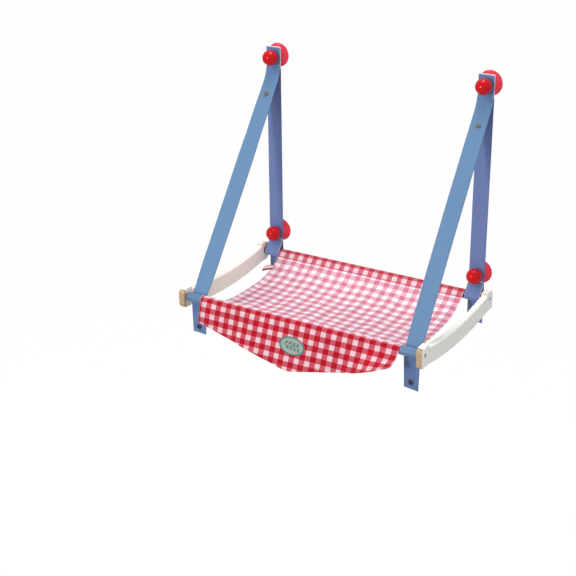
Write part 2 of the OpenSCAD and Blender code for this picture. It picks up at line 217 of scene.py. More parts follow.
class PerchColours(bpy.types.PropertyGroup):
    """Colours of the perch's finishes"""

    flap_deep: colour_prop("Flap deep", "Both yarns red on the flap", 169, 13, 33)
    flap_mid: colour_prop("Flap mid", "One yarn red on the flap", 188, 72, 88)
    flap_white: colour_prop("Flap white", "Both yarns white on the flap", 218, 186, 193)
    # The seat colours are lighter copies of the flap's gingham: painted light from above and through the
    # single cloth.
    seat_deep_lit: colour_prop("Seat deep", "Both yarns red on the seat", 203, 119, 141)
    seat_mid_lit: colour_prop("Seat mid", "One yarn red on the seat", 214, 167, 180)
    seat_white_lit: colour_prop("Seat white", "Both yarns white on the seat", 241, 225, 233)
    strap: colour_prop("Strap", "Webbing of the front straps", 92, 128, 160)
    # The rear strap colour is painted shade: a darker, more violet copy of the same webbing.
    rear_strap: colour_prop("Rear strap", "Webbing of the rear straps", 100, 119, 167)
    # The loop colour is painted shade: a darker copy of the strap webbing, set against the light the round
    # loops catch.
    loop: colour_prop("Loop", "Webbing of the loops", 80, 114, 152)
    # The tail colour is painted shade: the webbing's darker, more violet tone where it hangs straight down.
    tail: colour_prop("Tail", "Webbing where the front straps hang straight", 95, 122, 170)
    knob: colour_prop("Knob", "Red of the knobs", 198, 3, 18)
    cup: colour_prop("Cup", "Red of the suction cups", 250, 70, 94)
    wood: colour_prop("Whitewash", "Paint on the side arms", 245, 244, 240)
    # Pine also gives the warm painted light that the red cloth throws on the arms' inner sides.
    pine: colour_prop("Pine", "Bare wood where the paint is thin", 254, 238, 226)
    end_grain: colour_prop("End grain", "End grain of the side arms", 178, 148, 108)
    # The rails' dark brown is painted shade: a wooden rail seen in shadow between the loops, arms and cloth.
    rail: colour_prop("Rail", "Stained wood of the rails", 92, 62, 44)
    patch: colour_prop("Patch", "Field of the oval patch", 145, 158, 144)
    patch_edge: colour_prop("Patch border", "Thread of the patch's border", 62, 108, 110)
    tag: colour_prop("Tag", "Middle of the ribbon tag", 240, 186, 194)
    tag_edge: colour_prop("Tag border", "Edges of the ribbon tag", 132, 18, 42)
    thread: colour_prop("Thread", "Sewing thread on the gingham", 214, 132, 150)
    strap_thread: colour_prop("Strap thread", "Sewing thread on the webbing", 128, 164, 208)
    screw: colour_prop("Screw", "Dark steel of the arms' screws", 92, 92, 98)
    screw_worn: colour_prop("Screw, rubbed", "Rubbed steel of the arms' screws", 60, 58, 60)
    stud: colour_prop("Stud", "Plated steel of the cups' studs", 196, 196, 192)
    stud_worn: colour_prop("Stud, rubbed", "Rubbed steel of the cups' studs", 150, 150, 148)
    post: colour_prop("Snap stud", "Metal of the snaps on the slanted straps", 150, 146, 138)
    post_worn: colour_prop("Snap stud, rubbed", "Rubbed metal of the same snaps", 118, 112, 104)
    ring: colour_prop("Snap socket", "Dark metal of the snaps on the tails", 104, 103, 108)
    ring_worn: colour_prop("Snap socket, rubbed", "Rubbed metal of the same snaps", 66, 64, 70)


# Numbers and curves

def ease(a, b, t):
    """Smooth step: 0 before a, 1 after b, three squares less two cubes between."""
    s = np.clip((t - a) / (b - a), 0, 1)
    return s * s * (3 - 2 * s)


def unit(v):
    """Each vector over its own length."""
    return v / np.maximum(np.linalg.norm(v, axis=-1, keepdims=True), 1e-12)


def run_of(points):
    """Length along a line of points, from its first point to each of the others."""
    return np.concatenate([[0.0], np.cumsum(np.linalg.norm(np.diff(points, axis=0), axis=1))])


def paired(a, b):
    """Two values side by side at each point of a grid, such as the two places in a pattern."""
    return np.stack(np.broadcast_arrays(a, b), -1)


def opening(count, length):
    """Places from 0 to length whose gaps grow: the length times one less a cosine."""
    return length * (1 - np.cos(np.linspace(0, np.pi / 2, count)))


def arc_height(radius, away):
    """Height of a quarter circle at a distance from its middle, held between 0 and the radius."""
    return np.sqrt(np.clip(radius ** 2 - np.clip(away, 0, radius) ** 2, 0, None))


def spread(length, step, edge):
    """Places from 0 to length, about step apart, with close ones inside each edge."""
    near = opening(5, edge)
    count = max(2, int(round((length - 2 * edge) / step)) + 1)
    return np.concatenate([near[:-1], np.linspace(edge, length - edge, count), length - near[-2::-1]])


def edge_round(place, length, edge):
    """Share of the full thickness: a quarter round that falls to 0 at both ends of a length."""
    d = np.clip(np.minimum(place, length - place) / edge, 0, 1)
    return np.sqrt(np.clip(1 - (1 - d) ** 2, 0, 1))


def filleted(corners, radii, step):
    """Line through corners in a plane, each inner corner turned by an arc of its own radius."""
    corners = np.asarray(corners, float)
    parts = [corners[:1]]
    for here, before, after, radius in zip(corners[1:-1], corners[:-2], corners[2:], radii):
        a, b = unit(here - before), unit(after - here)
        turn = math.acos(float(np.clip(a @ b, -1, 1)))
        side = unit(b - a)
        centre = here + side * radius / math.cos(turn / 2)
        count = max(6, int(radius * turn / step) + 1)
        angles = np.linspace(-turn / 2, turn / 2, count)[:, None]
        forward = unit(a + b)
        parts.append(centre + radius * (np.sin(angles) * forward - np.cos(angles) * side))
    parts.append(corners[-1:])
    return np.concatenate(parts)


def resampled(points, places):
    """Points of a line at the given lengths along it."""
    run = run_of(points)
    return np.stack([np.interp(places, run, points[:, k]) for k in range(points.shape[1])], -1)


def smooth_line(points, count):
    """A line through every given point, with a Catmull and Rom cubic between neighbours."""
    p = np.asarray(points, float)
    p = np.concatenate([2 * p[:1] - p[1:2], p, 2 * p[-1:] - p[-2:-1]])
    t = np.linspace(0, 1, count, endpoint=False)[None, :, None]
    a, b, c, d = (p[k:len(p) - 3 + k, None, :] for k in range(4))
    line = 0.5 * (2 * b + (c - a) * t + (2 * a - 5 * b + 4 * c - d) * t ** 2
                  + (3 * b - 3 * c + d - a) * t ** 3)
    return np.concatenate([line.reshape(-1, p.shape[1]), p[-2:-1]])


# Meshes

def grid_object(name, points, uv, sharp=40.0, values=None):
    """A grid of points as one mesh, welded where points meet, with faces outwards.

    points is rows by columns by 3, or a stack of such grids. The last column joins the first,
    so uv has one column more. Each quad joins four neighbours of the grid.
    """
    stack = points if points.ndim == 4 else points[None]
    coords = uv if uv.ndim == 4 else np.broadcast_to(uv, (len(stack),) + uv.shape)
    blocks, rows, cols = stack.shape[:3]
    i, j = np.meshgrid(np.arange(rows - 1), np.arange(cols), indexing="ij")
    quad = np.stack([i * cols + j, i * cols + (j + 1) % cols,
                     (i + 1) * cols + (j + 1) % cols, (i + 1) * cols + j], -1).reshape(-1, 4)
    faces = (quad[None] + (np.arange(blocks) * rows * cols)[:, None, None]).reshape(-1, 4)
    corner_uv = np.stack([coords[:, i, j], coords[:, i, j + 1], coords[:, i + 1, j + 1],
                          coords[:, i + 1, j]], 3).reshape(-1, 2)
    mesh = bpy.data.meshes.new(name)
    mesh.from_pydata(stack.reshape(-1, 3), [], faces)
    mesh.uv_layers.new(name="UVMap").data.foreach_set("uv", corner_uv.astype(np.float32).ravel())
    for key, value in (values or {}).items():
        full = np.broadcast_to(value, stack.shape[:3]).astype(np.float32)
        mesh.attributes.new(key, "FLOAT", "POINT").data.foreach_set("value", full.ravel())
    work = bmesh.new()
    work.from_mesh(mesh)
    bmesh.ops.remove_doubles(work, verts=work.verts, dist=WELD)
    if work.calc_volume(signed=True) < 0:
        bmesh.ops.reverse_faces(work, faces=work.faces)
    work.to_mesh(mesh)
    work.free()
    mesh.polygons.foreach_set("use_smooth", np.ones(len(mesh.polygons), bool))
    mesh.set_sharp_from_angle(angle=math.radians(sharp))
    piece = bpy.data.objects.new(name, mesh)
    bpy.context.scene.collection.objects.link(piece)
    return piece


def shell(mid, half):
    """Both faces of a sheet: its middle surface moved along its normal by half its thickness.

    The upper face runs one way over the columns and the lower face back, so that the two
    meet where half is nothing, and elsewhere the ends close with a flat cap.
    """
    along, across = np.gradient(mid, axis=0), np.gradient(mid, axis=1)
    normal = unit(np.cross(along, across))
    half = np.broadcast_to(half, mid.shape[:2])[..., None]
    ring = np.concatenate([mid + normal * half, (mid - normal * half)[:, ::-1]], axis=1)
    flat = np.concatenate([mid, mid[:, ::-1]], axis=1)
    return np.concatenate([flat[:1], ring, flat[-1:]])


def shell_uv(uv):
    """The pattern's places for both faces of a sheet, with the closing column."""
    ring = np.concatenate([uv, uv[:, ::-1], uv[:, :1]], axis=1)
    return np.concatenate([ring[:1], ring, ring[-1:]])


def shell_value(value, shape):
    """A value over a sheet, laid out as its shell is."""
    v = np.broadcast_to(value, shape)
    ring = np.concatenate([v, v[:, ::-1]], axis=1)
    return np.concatenate([ring[:1], ring, ring[-1:]])


def lathe_points(profile, origin, axis, steps):
    """A profile of radius and height turned round an axis: radius in two normal directions."""
    axis = unit(np.asarray(axis, float))
    side = unit(np.cross(axis, (0.0, 0.0, 1.0) if abs(axis[2]) < 0.9 else (1.0, 0.0, 0.0)))
    other = np.cross(axis, side)
    turn = np.arange(steps) * 2 * np.pi / steps
    ring = np.cos(turn)[:, None] * side + np.sin(turn)[:, None] * other
    radius, height = profile[:, 0, None, None], profile[:, 1, None, None]
    return np.asarray(origin, float) + radius * ring[None] + height * axis


def lathe_uv(profile, steps):
    """Place round the axis and length along the profile, for a turned shape."""
    run = run_of(profile)
    turn = np.linspace(0, 2 * np.pi, steps + 1) * max(profile[:, 0].max(), 1e-6)
    return paired(turn[None, :], run[:, None])


def turned_object(name, profile, origin, axis=(0, -1, 0), steps=FACETS, sharp=50.0):
    """A profile turned round an axis, as one mesh."""
    return grid_object(name, lathe_points(profile, origin, axis, steps), lathe_uv(profile, steps),
                       sharp=sharp)


def skin_of(points, half, towards):
    """Outer face of a sheet, where stitches lie, and its normals on the side of a direction."""
    normal = unit(np.cross(np.gradient(points, axis=1), np.gradient(points, axis=0)))
    normal = normal * np.sign(normal @ np.array(towards, float))[..., None]
    return points + normal * (half[..., None] + STITCH_LIFT), normal


def stitch_points(starts, ends, normals, radius):
    """Sewn stitches: each a short bead whose radius rises and falls along its length."""
    starts, ends, normals = (np.asarray(v, float) for v in (starts, ends, normals))
    along = unit(ends - starts)
    side = unit(np.cross(along, normals))
    up = np.cross(side, along)
    share = np.array([0.0, 0.12, 0.35, 0.65, 0.88, 1.0])
    size = np.array([0.0, 0.75, 1.0, 1.0, 0.75, 0.0]) * radius
    turn = np.arange(BEAD_SIDES) * 2 * np.pi / BEAD_SIDES
    line = starts[:, None] + (ends - starts)[:, None] * share[None, :, None]
    ring = (np.cos(turn)[None, :, None] * side[:, None] * 1.0
            + np.sin(turn)[None, :, None] * up[:, None] * 0.7)
    return line[:, :, None] + size[None, :, None, None] * ring[:, None]


def stitches(name, line, normals, material, body, pitch=0.0034, fill=0.72, radius=0.00032):
    """A row of stitches along a line of points, a bead over most of each pitch."""
    run = run_of(line)
    count = max(1, int(run[-1] / pitch))
    begin = np.linspace(0, run[-1], count, endpoint=False)
    step = run[-1] / count
    starts, ends = resampled(line, begin), resampled(line, begin + fill * step)
    up = unit(np.stack([np.interp(begin, run, normals[:, k]) for k in range(3)], -1))
    points = stitch_points(starts, ends, up, radius)
    piece = grid_object(name, points, np.zeros((points.shape[1], BEAD_SIDES + 1, 2)))
    finish_piece(piece, material, body)
    return piece


def finish_piece(piece, material, body=None, replaces=()):
    """Gives a piece its material and body, and hides the CAD nodes that it stands for."""
    piece.data.materials.clear()
    piece.data.materials.append(material)
    if body:
        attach(piece, body)
    if replaces:
        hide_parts(*replaces)


# Materials

class Shader:
    """A material's node tree, with short ways to add and join its nodes."""

    def __init__(self, name):
        """A new material with its surface node, and the object's own coordinates."""
        self.material = bpy.data.materials.new(name)
        self.material.use_nodes = True
        self.tree = self.material.node_tree
        self.surface = self.tree.nodes["Principled BSDF"]
        self.count = 0
        self.place = self.node("ShaderNodeTexCoord").outputs["Object"]

    def node(self, kind, inputs=None, **settings):
        """A new node, with its settings, and its inputs joined or set."""
        made = self.tree.nodes.new(kind)
        made.location = (-220 * (self.count % 12) - 300, -160 * (self.count // 12))
        self.count += 1
        for key, value in settings.items():
            setattr(made, key, value)
        for key, value in (inputs or {}).items():
            self.join(made.inputs[key], value)
        return made

    def join(self, socket, value):
        """Links a socket to another, or sets its constant."""
        if isinstance(value, bpy.types.NodeSocket):
            self.tree.links.new(value, socket)
        elif socket.type == "RGBA" and len(value) == 3:
            socket.default_value = (*value, 1.0)
        else:
            socket.default_value = value

    def math(self, operation, a, b=0.0, c=0.0, clamp=False):
        """Result of one sum on up to three values."""
        made = self.node("ShaderNodeMath", {0: a, 1: b, 2: c}, operation=operation, use_clamp=clamp)
        return made.outputs[0]

    def times(self, a, b, clamp=False):
        """Product of two values."""
        return self.math("MULTIPLY", a, b, clamp=clamp)

    def plus(self, a, b, clamp=False):
        """Sum of two values."""
        return self.math("ADD", a, b, clamp=clamp)

    def line(self, a, slope, start, clamp=False):
        """A value times a slope, plus a start."""
        return self.math("MULTIPLY_ADD", a, slope, start, clamp)

    def mix(self, share, a, b, blend="MIX"):
        """Colour on the way from a to b, or their product."""
        made = self.node("ShaderNodeMix", data_type="RGBA", blend_type=blend, clamp_factor=True)
        for socket, value in ((0, share), (6, a), (7, b)):
            self.join(made.inputs[socket], value)
        return made.outputs[2]

    def ramp(self, share, start, mid, end):
        """Colour along three stops, at 0, a half and 1."""
        made = self.node("ShaderNodeValToRGB", {0: share})
        stops = made.color_ramp.elements
        stops.new(0.5)
        for stop, colour in zip(stops, (start, mid, end)):
            stop.color = (*colour, 1.0)
        return made.outputs[0]

    def uv(self):
        """The two places in the piece's own pattern, in metres."""
        made = self.node("ShaderNodeSeparateXYZ", {0: self.node("ShaderNodeUVMap").outputs[0]})
        return made.outputs[0], made.outputs[1]

    def value(self, name):
        """A value that the mesh carries at each point."""
        return self.node("ShaderNodeAttribute", attribute_name=name).outputs["Fac"]

    def noise(self, scale, detail=3.0, rough=0.5, stretch=(1.0, 1.0, 1.0)):
        """Cloudy value over the object's own coordinates, longer where the stretch is small."""
        moved = self.node("ShaderNodeMapping", {"Vector": self.place, "Scale": stretch}).outputs[0]
        return self.node("ShaderNodeTexNoise", {"Vector": moved, "Scale": scale, "Detail": detail,
                                                "Roughness": rough}).outputs["Fac"]

    def bump(self, height, strength, distance, before=None):
        """Normal of a height, over an earlier normal where there is one."""
        inputs = {"Height": height, "Strength": strength, "Distance": distance}
        if before is not None:
            inputs["Normal"] = before
        return self.node("ShaderNodeBump", inputs).outputs[0]

    def wave(self, place, period, phase=0.0):
        """Cosine of a place with the given period."""
        moved = self.math("SUBTRACT", place, phase)
        return self.math("COSINE", self.times(moved, 2 * math.pi / period))

    def finish(self, colour, roughness, normal=None, **fixed):
        """Joins the surface's inputs, sets its other constants and gives the material."""
        for key, value in (("Base Color", colour), ("Roughness", roughness), ("Normal", normal)):
            if value is not None:
                self.join(self.surface.inputs[key], value)
        for key, value in fixed.items():
            self.surface.inputs[key.replace("_", " ")].default_value = value
        return self.material


def weave_height(shader, u, v, pitch):
    """Over-and-under of plain yarns: product of two waves a yarn apart each way."""
    return shader.times(shader.wave(u, pitch * 2), shader.wave(v, pitch * 2))


def gingham_material(name, sizes, deep, mid, white, phase_v, doubled=None, heavy=0.5):
    """Woven checks: a steep wave each way, held between white and red, and the mean of the two.

    The yarns stray a little from their row. Where the cloth lies double, a second set of stronger reds
    takes over; on the seat the first, lighter set is painted light from above and through the single cloth.
    """
    yarn, stray, steep = 0.00042, 0.0022, 7.0
    s = Shader(name)
    u, v = s.uv()
    waver = s.times(s.math("SUBTRACT", s.noise(22.0, 3.0), 0.5), stray)
    red_u = s.line(s.wave(s.plus(u, waver), sizes.repeat_x, sizes.check_x), steep, heavy, clamp=True)
    red_v = s.line(s.wave(s.plus(v, waver), sizes.repeat_y, phase_v), steep, heavy, clamp=True)
    weave = weave_height(s, u, v, yarn)
    both = s.times(s.plus(red_u, red_v), 0.5)
    apart = s.times(s.math("SUBTRACT", red_u, red_v), s.times(weave, 0.10))
    share = s.plus(both, apart, clamp=True)
    colour = s.ramp(share, white, mid, deep)
    slub = s.noise(260.0, 4.0, 0.6, (0.25, 1.0, 1.0))
    slub_b = s.noise(260.0, 4.0, 0.6, (1.0, 0.2, 1.0))
    tone = s.line(s.plus(slub, slub_b), 0.50, 0.50)
    cloudy = s.line(s.noise(9.0, 2.0), 0.08, 0.96)
    tone = s.times(tone, cloudy)
    grey = s.node("ShaderNodeCombineXYZ", {0: tone, 1: tone, 2: tone}).outputs[0]
    colour = s.mix(1.0, colour, grey, "MULTIPLY")
    if doubled is not None:
        colour = s.mix(s.value("doubled"), colour, s.ramp(share, *doubled))
    rough = s.line(slub, 0.12, 0.80)
    normal = s.bump(weave, 0.25, 0.00012, s.bump(slub, 0.2, 0.0003))
    return s.finish(colour, rough, normal, Sheen_Weight=0.05, Sheen_Roughness=0.5,
                    Specular_IOR_Level=0.12)


def webbing_material(name, base, light=1.18, hanging_shade=None, dull=0.52):
    """Woven strap: fine ribs across, a twill slant, painted shade along its edges and faded patches.

    Where the strap hangs straight down it takes a second, more violet tone, which is painted shade.
    Its cut end is pale, and the edges near that end carry a pale painted highlight.
    """
    edge_shade_w, edge_highlight_w, edge_highlight_length, end_rim, pale = 0.0012, 0.0008, 0.052, 0.0019, (0.74, 0.74, 0.82)
    twill_pitch, rib_pitch = 0.0016, 0.0011
    s = Shader(name)
    u, v = s.uv()
    twill = s.wave(s.plus(u, v), twill_pitch)
    ribs = s.wave(v, rib_pitch)
    height = s.line(twill, 0.6, ribs)
    fade = s.noise(14.0, 3.0)
    yarn = s.noise(420.0, 3.0, 0.6, (0.4, 1.0, 1.0))
    lighter = shade(base, light)
    colour = s.mix(s.line(fade, 0.7, s.times(yarn, 0.3)), base, lighter)
    # Painted shade: where the strap hangs straight down and faces along Y, it turns to the tail colour.
    if hanging_shade is not None:
        colour = s.mix(s.value("hang"), colour, hanging_shade)
    across = s.math("ABSOLUTE", u)
    # Painted shade along the strap's rounded edges: a dark band just inside each edge.
    edge = s.times(s.math("GREATER_THAN", across, STRAP_W / 2 - edge_shade_w), 0.45)
    colour = s.mix(edge, colour, shade(base, 0.62))
    # Painted highlight: a pale line inside each edge over the first few centimetres, joined with the pale cut
    # end.
    side = s.times(s.math("GREATER_THAN", across, STRAP_W / 2 - edge_highlight_w),
                   s.math("LESS_THAN", v, edge_highlight_length))
    cut_end_and_highlight = s.math("MAXIMUM", side, s.math("LESS_THAN", v, end_rim))
    colour = s.mix(s.times(cut_end_and_highlight, 0.85), colour, pale)
    dark = s.line(s.times(twill, ribs), 0.05, 0.06)
    colour = s.mix(dark, colour, shade(base, 0.5))
    rough = s.line(yarn, 0.2, dull)
    normal = s.bump(height, 0.3, 0.00012, s.bump(yarn, 0.15, 0.0003))
    return s.finish(colour, rough, normal, Sheen_Weight=0.15, Sheen_Roughness=0.4,
                    Specular_IOR_Level=0.35 if dull > 0.5 else 0.7)


def plastic_material(name, base, rough, through=0.0, ripple=0.08):
    """Moulded plastic: one red, faint flow marks, small scuffs in the gloss."""
    s = Shader(name)
    flow = s.noise(38.0, 3.0, 0.5, (1.0, 1.0, 0.5))
    scuff = s.noise(520.0, 2.0)
    colour = s.mix(s.times(flow, 0.35), base, shade(base, 0.80))
    gloss = s.line(scuff, 0.08, rough)
    normal = s.bump(flow, ripple, 0.0004)
    fixed = {"IOR": 1.40, "Specular_IOR_Level": 0.42}
    if through:
        fixed.update(Transmission_Weight=through)
    return s.finish(colour, gloss, normal, **fixed)


def metal_material(name, base, rough, worn):
    """Plated metal: brushed streaks, and a rubbed tone in patches."""
    s = Shader(name)
    streak = s.noise(900.0, 3.0, 0.6, (1.0, 0.12, 1.0))
    patch = s.noise(160.0, 2.0)
    colour = s.mix(s.times(patch, 0.6), base, worn)
    gloss = s.line(streak, 0.18, rough)
    return s.finish(colour, gloss, s.bump(streak, 0.1, 0.0001), Metallic=1.0)


def whitewash_material(name, colours):
    """Whitewashed pine: paint over long grain, bare bands, tan end grain with rings, painted shade in the
    bands' dips, and warm painted light from the cloth on the inner sides.
    """
    s = Shader(name)
    grain = s.noise(55.0, 5.0, 0.62, (2.2, 0.09, 1.4))
    fine = s.noise(420.0, 3.0, 0.6, (1.0, 0.05, 1.0))
    inner, ends, bands = s.value("inner"), s.value("end_grain"), s.value("bands")
    paint, pine, tan = colours.wood, colours.pine, colours.end_grain
    worn = s.line(grain, 0.5, s.times(fine, 0.22))
    # More bare pine on the inner sides: partly thin paint, partly warm painted light from the red cloth.
    thin = s.times(s.line(inner, 1.35, 0.12), worn, clamp=True)
    colour = s.mix(thin, paint, pine)
    # Painted shade: a yellowish tone in the dips between the soft bands, where the relief's steps would
    # shade.
    band_dip_shade = s.times(s.math("SUBTRACT", 1.0, bands), 0.34)
    colour = s.mix(band_dip_shade, colour, tuple(c * k for c, k in zip(paint, (0.93, 0.90, 0.78))))
    ring_pitch, ring_lean, ring_stray = 0.0085, 0.30, 0.010
    parts = s.node("ShaderNodeSeparateXYZ", {0: s.place}).outputs
    drift = s.times(s.noise(60.0, 2.0), ring_stray)
    rings = s.wave(s.plus(s.line(parts[0], ring_lean, parts[2]), drift), ring_pitch)
    line = s.math("POWER", s.line(rings, 0.5, 0.5), 4.0)
    end_tone = s.mix(s.times(line, 0.8), tan, shade(tan, 0.42))
    end_tone = s.mix(s.times(fine, 0.25), end_tone, shade(tan, 1.1))
    colour = s.mix(s.times(ends, 0.9), colour, end_tone)
    rough = s.line(grain, 0.18, 0.58)
    normal = s.bump(fine, 0.16, 0.0003, s.bump(grain, 0.22, 0.0006))
    return s.finish(colour, rough, normal, Specular_IOR_Level=0.3)


def dowel_material(name, base):
    """Dowel in a dark brown that is painted shade, with long dark grain along X and paler streaks."""
    s = Shader(name)
    grain = s.noise(70.0, 5.0, 0.6, (0.06, 1.6, 1.6))
    fine = s.noise(600.0, 3.0, 0.6, (0.04, 1.0, 1.0))
    colour = s.mix(grain, shade(base, 0.6), shade(base, 1.7))
    rough = s.line(fine, 0.2, 0.45)
    return s.finish(colour, rough, s.bump(fine, 0.2, 0.0003))


def thread_material(name, base):
    """Sewing thread: a twisted strand's slant, light and dark."""
    s = Shader(name)
    strand = s.noise(2200.0, 2.0)
    colour = s.mix(strand, shade(base, 0.8), shade(base, 1.15))
    return s.finish(colour, s.line(strand, 0.2, 0.6), s.bump(strand, 0.3, 0.0002),
                    Sheen_Weight=0.1)


def patch_material(name, colours):
    """Oval patch: pale twill field, stitched border, and a plain leaf sprig of satin stitch."""
    s = Shader(name)
    u, v = s.uv()
    border, leaf = s.value("border"), s.value("leaf")
    twill_pitch = 0.0009
    twill = s.wave(s.plus(u, v), twill_pitch)
    cloudy = s.noise(120.0, 3.0)
    field, edge = colours.patch, colours.patch_edge
    colour = s.mix(s.line(twill, 0.1, s.times(cloudy, 0.3)), field,
                   shade(field, 0.82))
    satin = s.noise(900.0, 3.0, 0.6, (1.0, 0.4, 0.4))
    thread = s.mix(satin, shade(edge, 0.8), shade(edge, 1.3))
    colour = s.mix(s.math("MAXIMUM", border, leaf, clamp=True), colour, thread)
    rough = s.line(satin, 0.2, 0.6)
    return s.finish(colour, rough, s.bump(satin, 0.3, 0.0003, s.bump(twill, 0.15, 0.0002)),
                    Sheen_Weight=0.15)


def ribbon_material(name, colours, tip_at):
    """Ribbon tag: pale ribbed middle between two dark woven edges and a dark fold."""
    middle_half, fold_half, rib_pitch = 0.0046, 0.0042, 0.0010
    s = Shader(name)
    u, v = s.uv()
    ribs = s.wave(v, rib_pitch)
    yarn = s.noise(700.0, 3.0)
    side = s.math("GREATER_THAN", s.math("ABSOLUTE", u), middle_half)
    tip = s.math("LESS_THAN", s.math("ABSOLUTE", s.math("SUBTRACT", v, tip_at)), fold_half)
    colour = s.mix(s.line(ribs, 0.08, s.times(yarn, 0.2)), colours.tag, shade(colours.tag, 0.7))
    border = s.mix(yarn, colours.tag_edge, shade(colours.tag_edge, 0.6))
    colour = s.mix(s.math("MAXIMUM", side, tip), colour, border)
    return s.finish(colour, s.line(yarn, 0.2, 0.55), s.bump(ribs, 0.3, 0.0001),
                    Sheen_Weight=0.2)


def floor_material(name):
    """Pale floor that shows white to the camera and keeps a soft shadow."""
    s = Shader(name)
    faint = s.noise(3.0, 2.0)
    s.finish(s.mix(faint, (0.56, 0.56, 0.56), (0.6, 0.6, 0.6)), 0.9)
    path = s.node("ShaderNodeLightPath")
    seen = s.math("MAXIMUM", path.outputs["Is Camera Ray"], path.outputs["Is Transmission Ray"])
    white = s.node("ShaderNodeEmission", {"Color": (1.0, 1.0, 1.0), "Strength": 1.04})
    both = s.node("ShaderNodeMixShader", {0: s.times(seen, 0.92),
                                          1: s.surface.outputs[0], 2: white.outputs[0]})
    s.tree.links.new(both.outputs[0], s.tree.nodes["Material Output"].inputs["Surface"])
    return s.material


# Cloth

def eased(x, sizes, front=1.0):
    """Place across the cloth, let out towards its two edges by a share of the ease there."""
    return x * (1 + front * np.where(x > 0, sizes.wide_right, sizes.wide_left) / SEAT_HALF)


def sling_floor(y, sizes):
    """Height of the sling's middle: a power of the way from mid to a rail, as a deep trough."""
    share = np.abs(y - MID_Y) / HALF_SPAN
    top = RAIL_R + sizes.cloth_t / 2
    return REAR[2] + top - (sizes.sag + top) * (1 - np.clip(share, 0, 1) ** sizes.floor_power)


def sling_line(sizes):
    """The sling's middle line in Y and Z, from seam to seam.

    It runs from a seam under the seat to the front rail, round the rail, and leaves it on a
    tangent. A cubic then joins the trough's power curve, and the rear end is its mirror. With
    the line come the numbers of the points where it leaves the rail and where it is mid way.
    """
    clear = 0.00005
    join_share = 0.60
    lap_length = 0.007
    r = RAIL_R + sizes.cloth_t / 2 + clear
    lean = sizes.leave_angle
    start = np.array([r * math.sin(lean) - HALF_SPAN, r * math.cos(lean)])
    join = -join_share * HALF_SPAN
    power = sizes.floor_power
    deep = sizes.sag + RAIL_R + sizes.cloth_t / 2
    slope = -deep * power * join_share ** (power - 1) / HALF_SPAN
    end = np.array([join, sling_floor(MID_Y + join, sizes) - REAR[2]])
    reach = np.linalg.norm(end - start)
    t = np.linspace(0, 1, 48)[:, None]
    go_a = np.array([math.cos(lean), -math.sin(lean)]) * reach
    go_b = unit(np.array([1.0, slope])) * reach
    cubic = ((2 * t ** 3 - 3 * t ** 2 + 1) * start + (t ** 3 - 2 * t ** 2 + t) * go_a
             + (3 * t ** 2 - 2 * t ** 3) * end + (t ** 3 - t ** 2) * go_b)
    floor_y = np.linspace(join, 0, 40)[1:]
    floor = np.stack([floor_y, sling_floor(MID_Y + floor_y, sizes) - REAR[2]], -1)
    top = np.concatenate([cubic, floor])
    run = run_of(top)
    tangent = np.gradient(top, axis=0)
    below = unit(np.stack([tangent[:, 1], -tangent[:, 0]], -1)) * (sizes.cloth_t * 1.12)
    under = top + below
    pick = np.linspace(sizes.seam_run + lap_length, sizes.seam_run, 8)
    lap = np.stack([np.interp(pick, run, under[:, k]) for k in (0, 1)], -1)
    centre = np.array([-HALF_SPAN, 0.0])
    gap = lap[-1] - centre
    far = np.linalg.norm(gap)
    touch = math.atan2(gap[1], gap[0]) - math.acos(r / far)
    foot = centre + r * np.array([math.cos(touch), math.sin(touch)])
    drop = lap[-1] + (foot - lap[-1]) * np.linspace(0, 1, 8)[1:-1, None]
    turn = np.linspace(touch, math.pi / 2 - lean - 2 * math.pi, 72)
    wrap = centre + r * np.stack([np.cos(turn), np.sin(turn)], -1)
    front = np.concatenate([lap, drop, wrap, top[1:]])
    line = np.concatenate([front, (front * (-1, 1))[-2::-1]])
    return line + (MID_Y, REAR[2]), len(lap) + len(drop) + len(wrap), len(front)


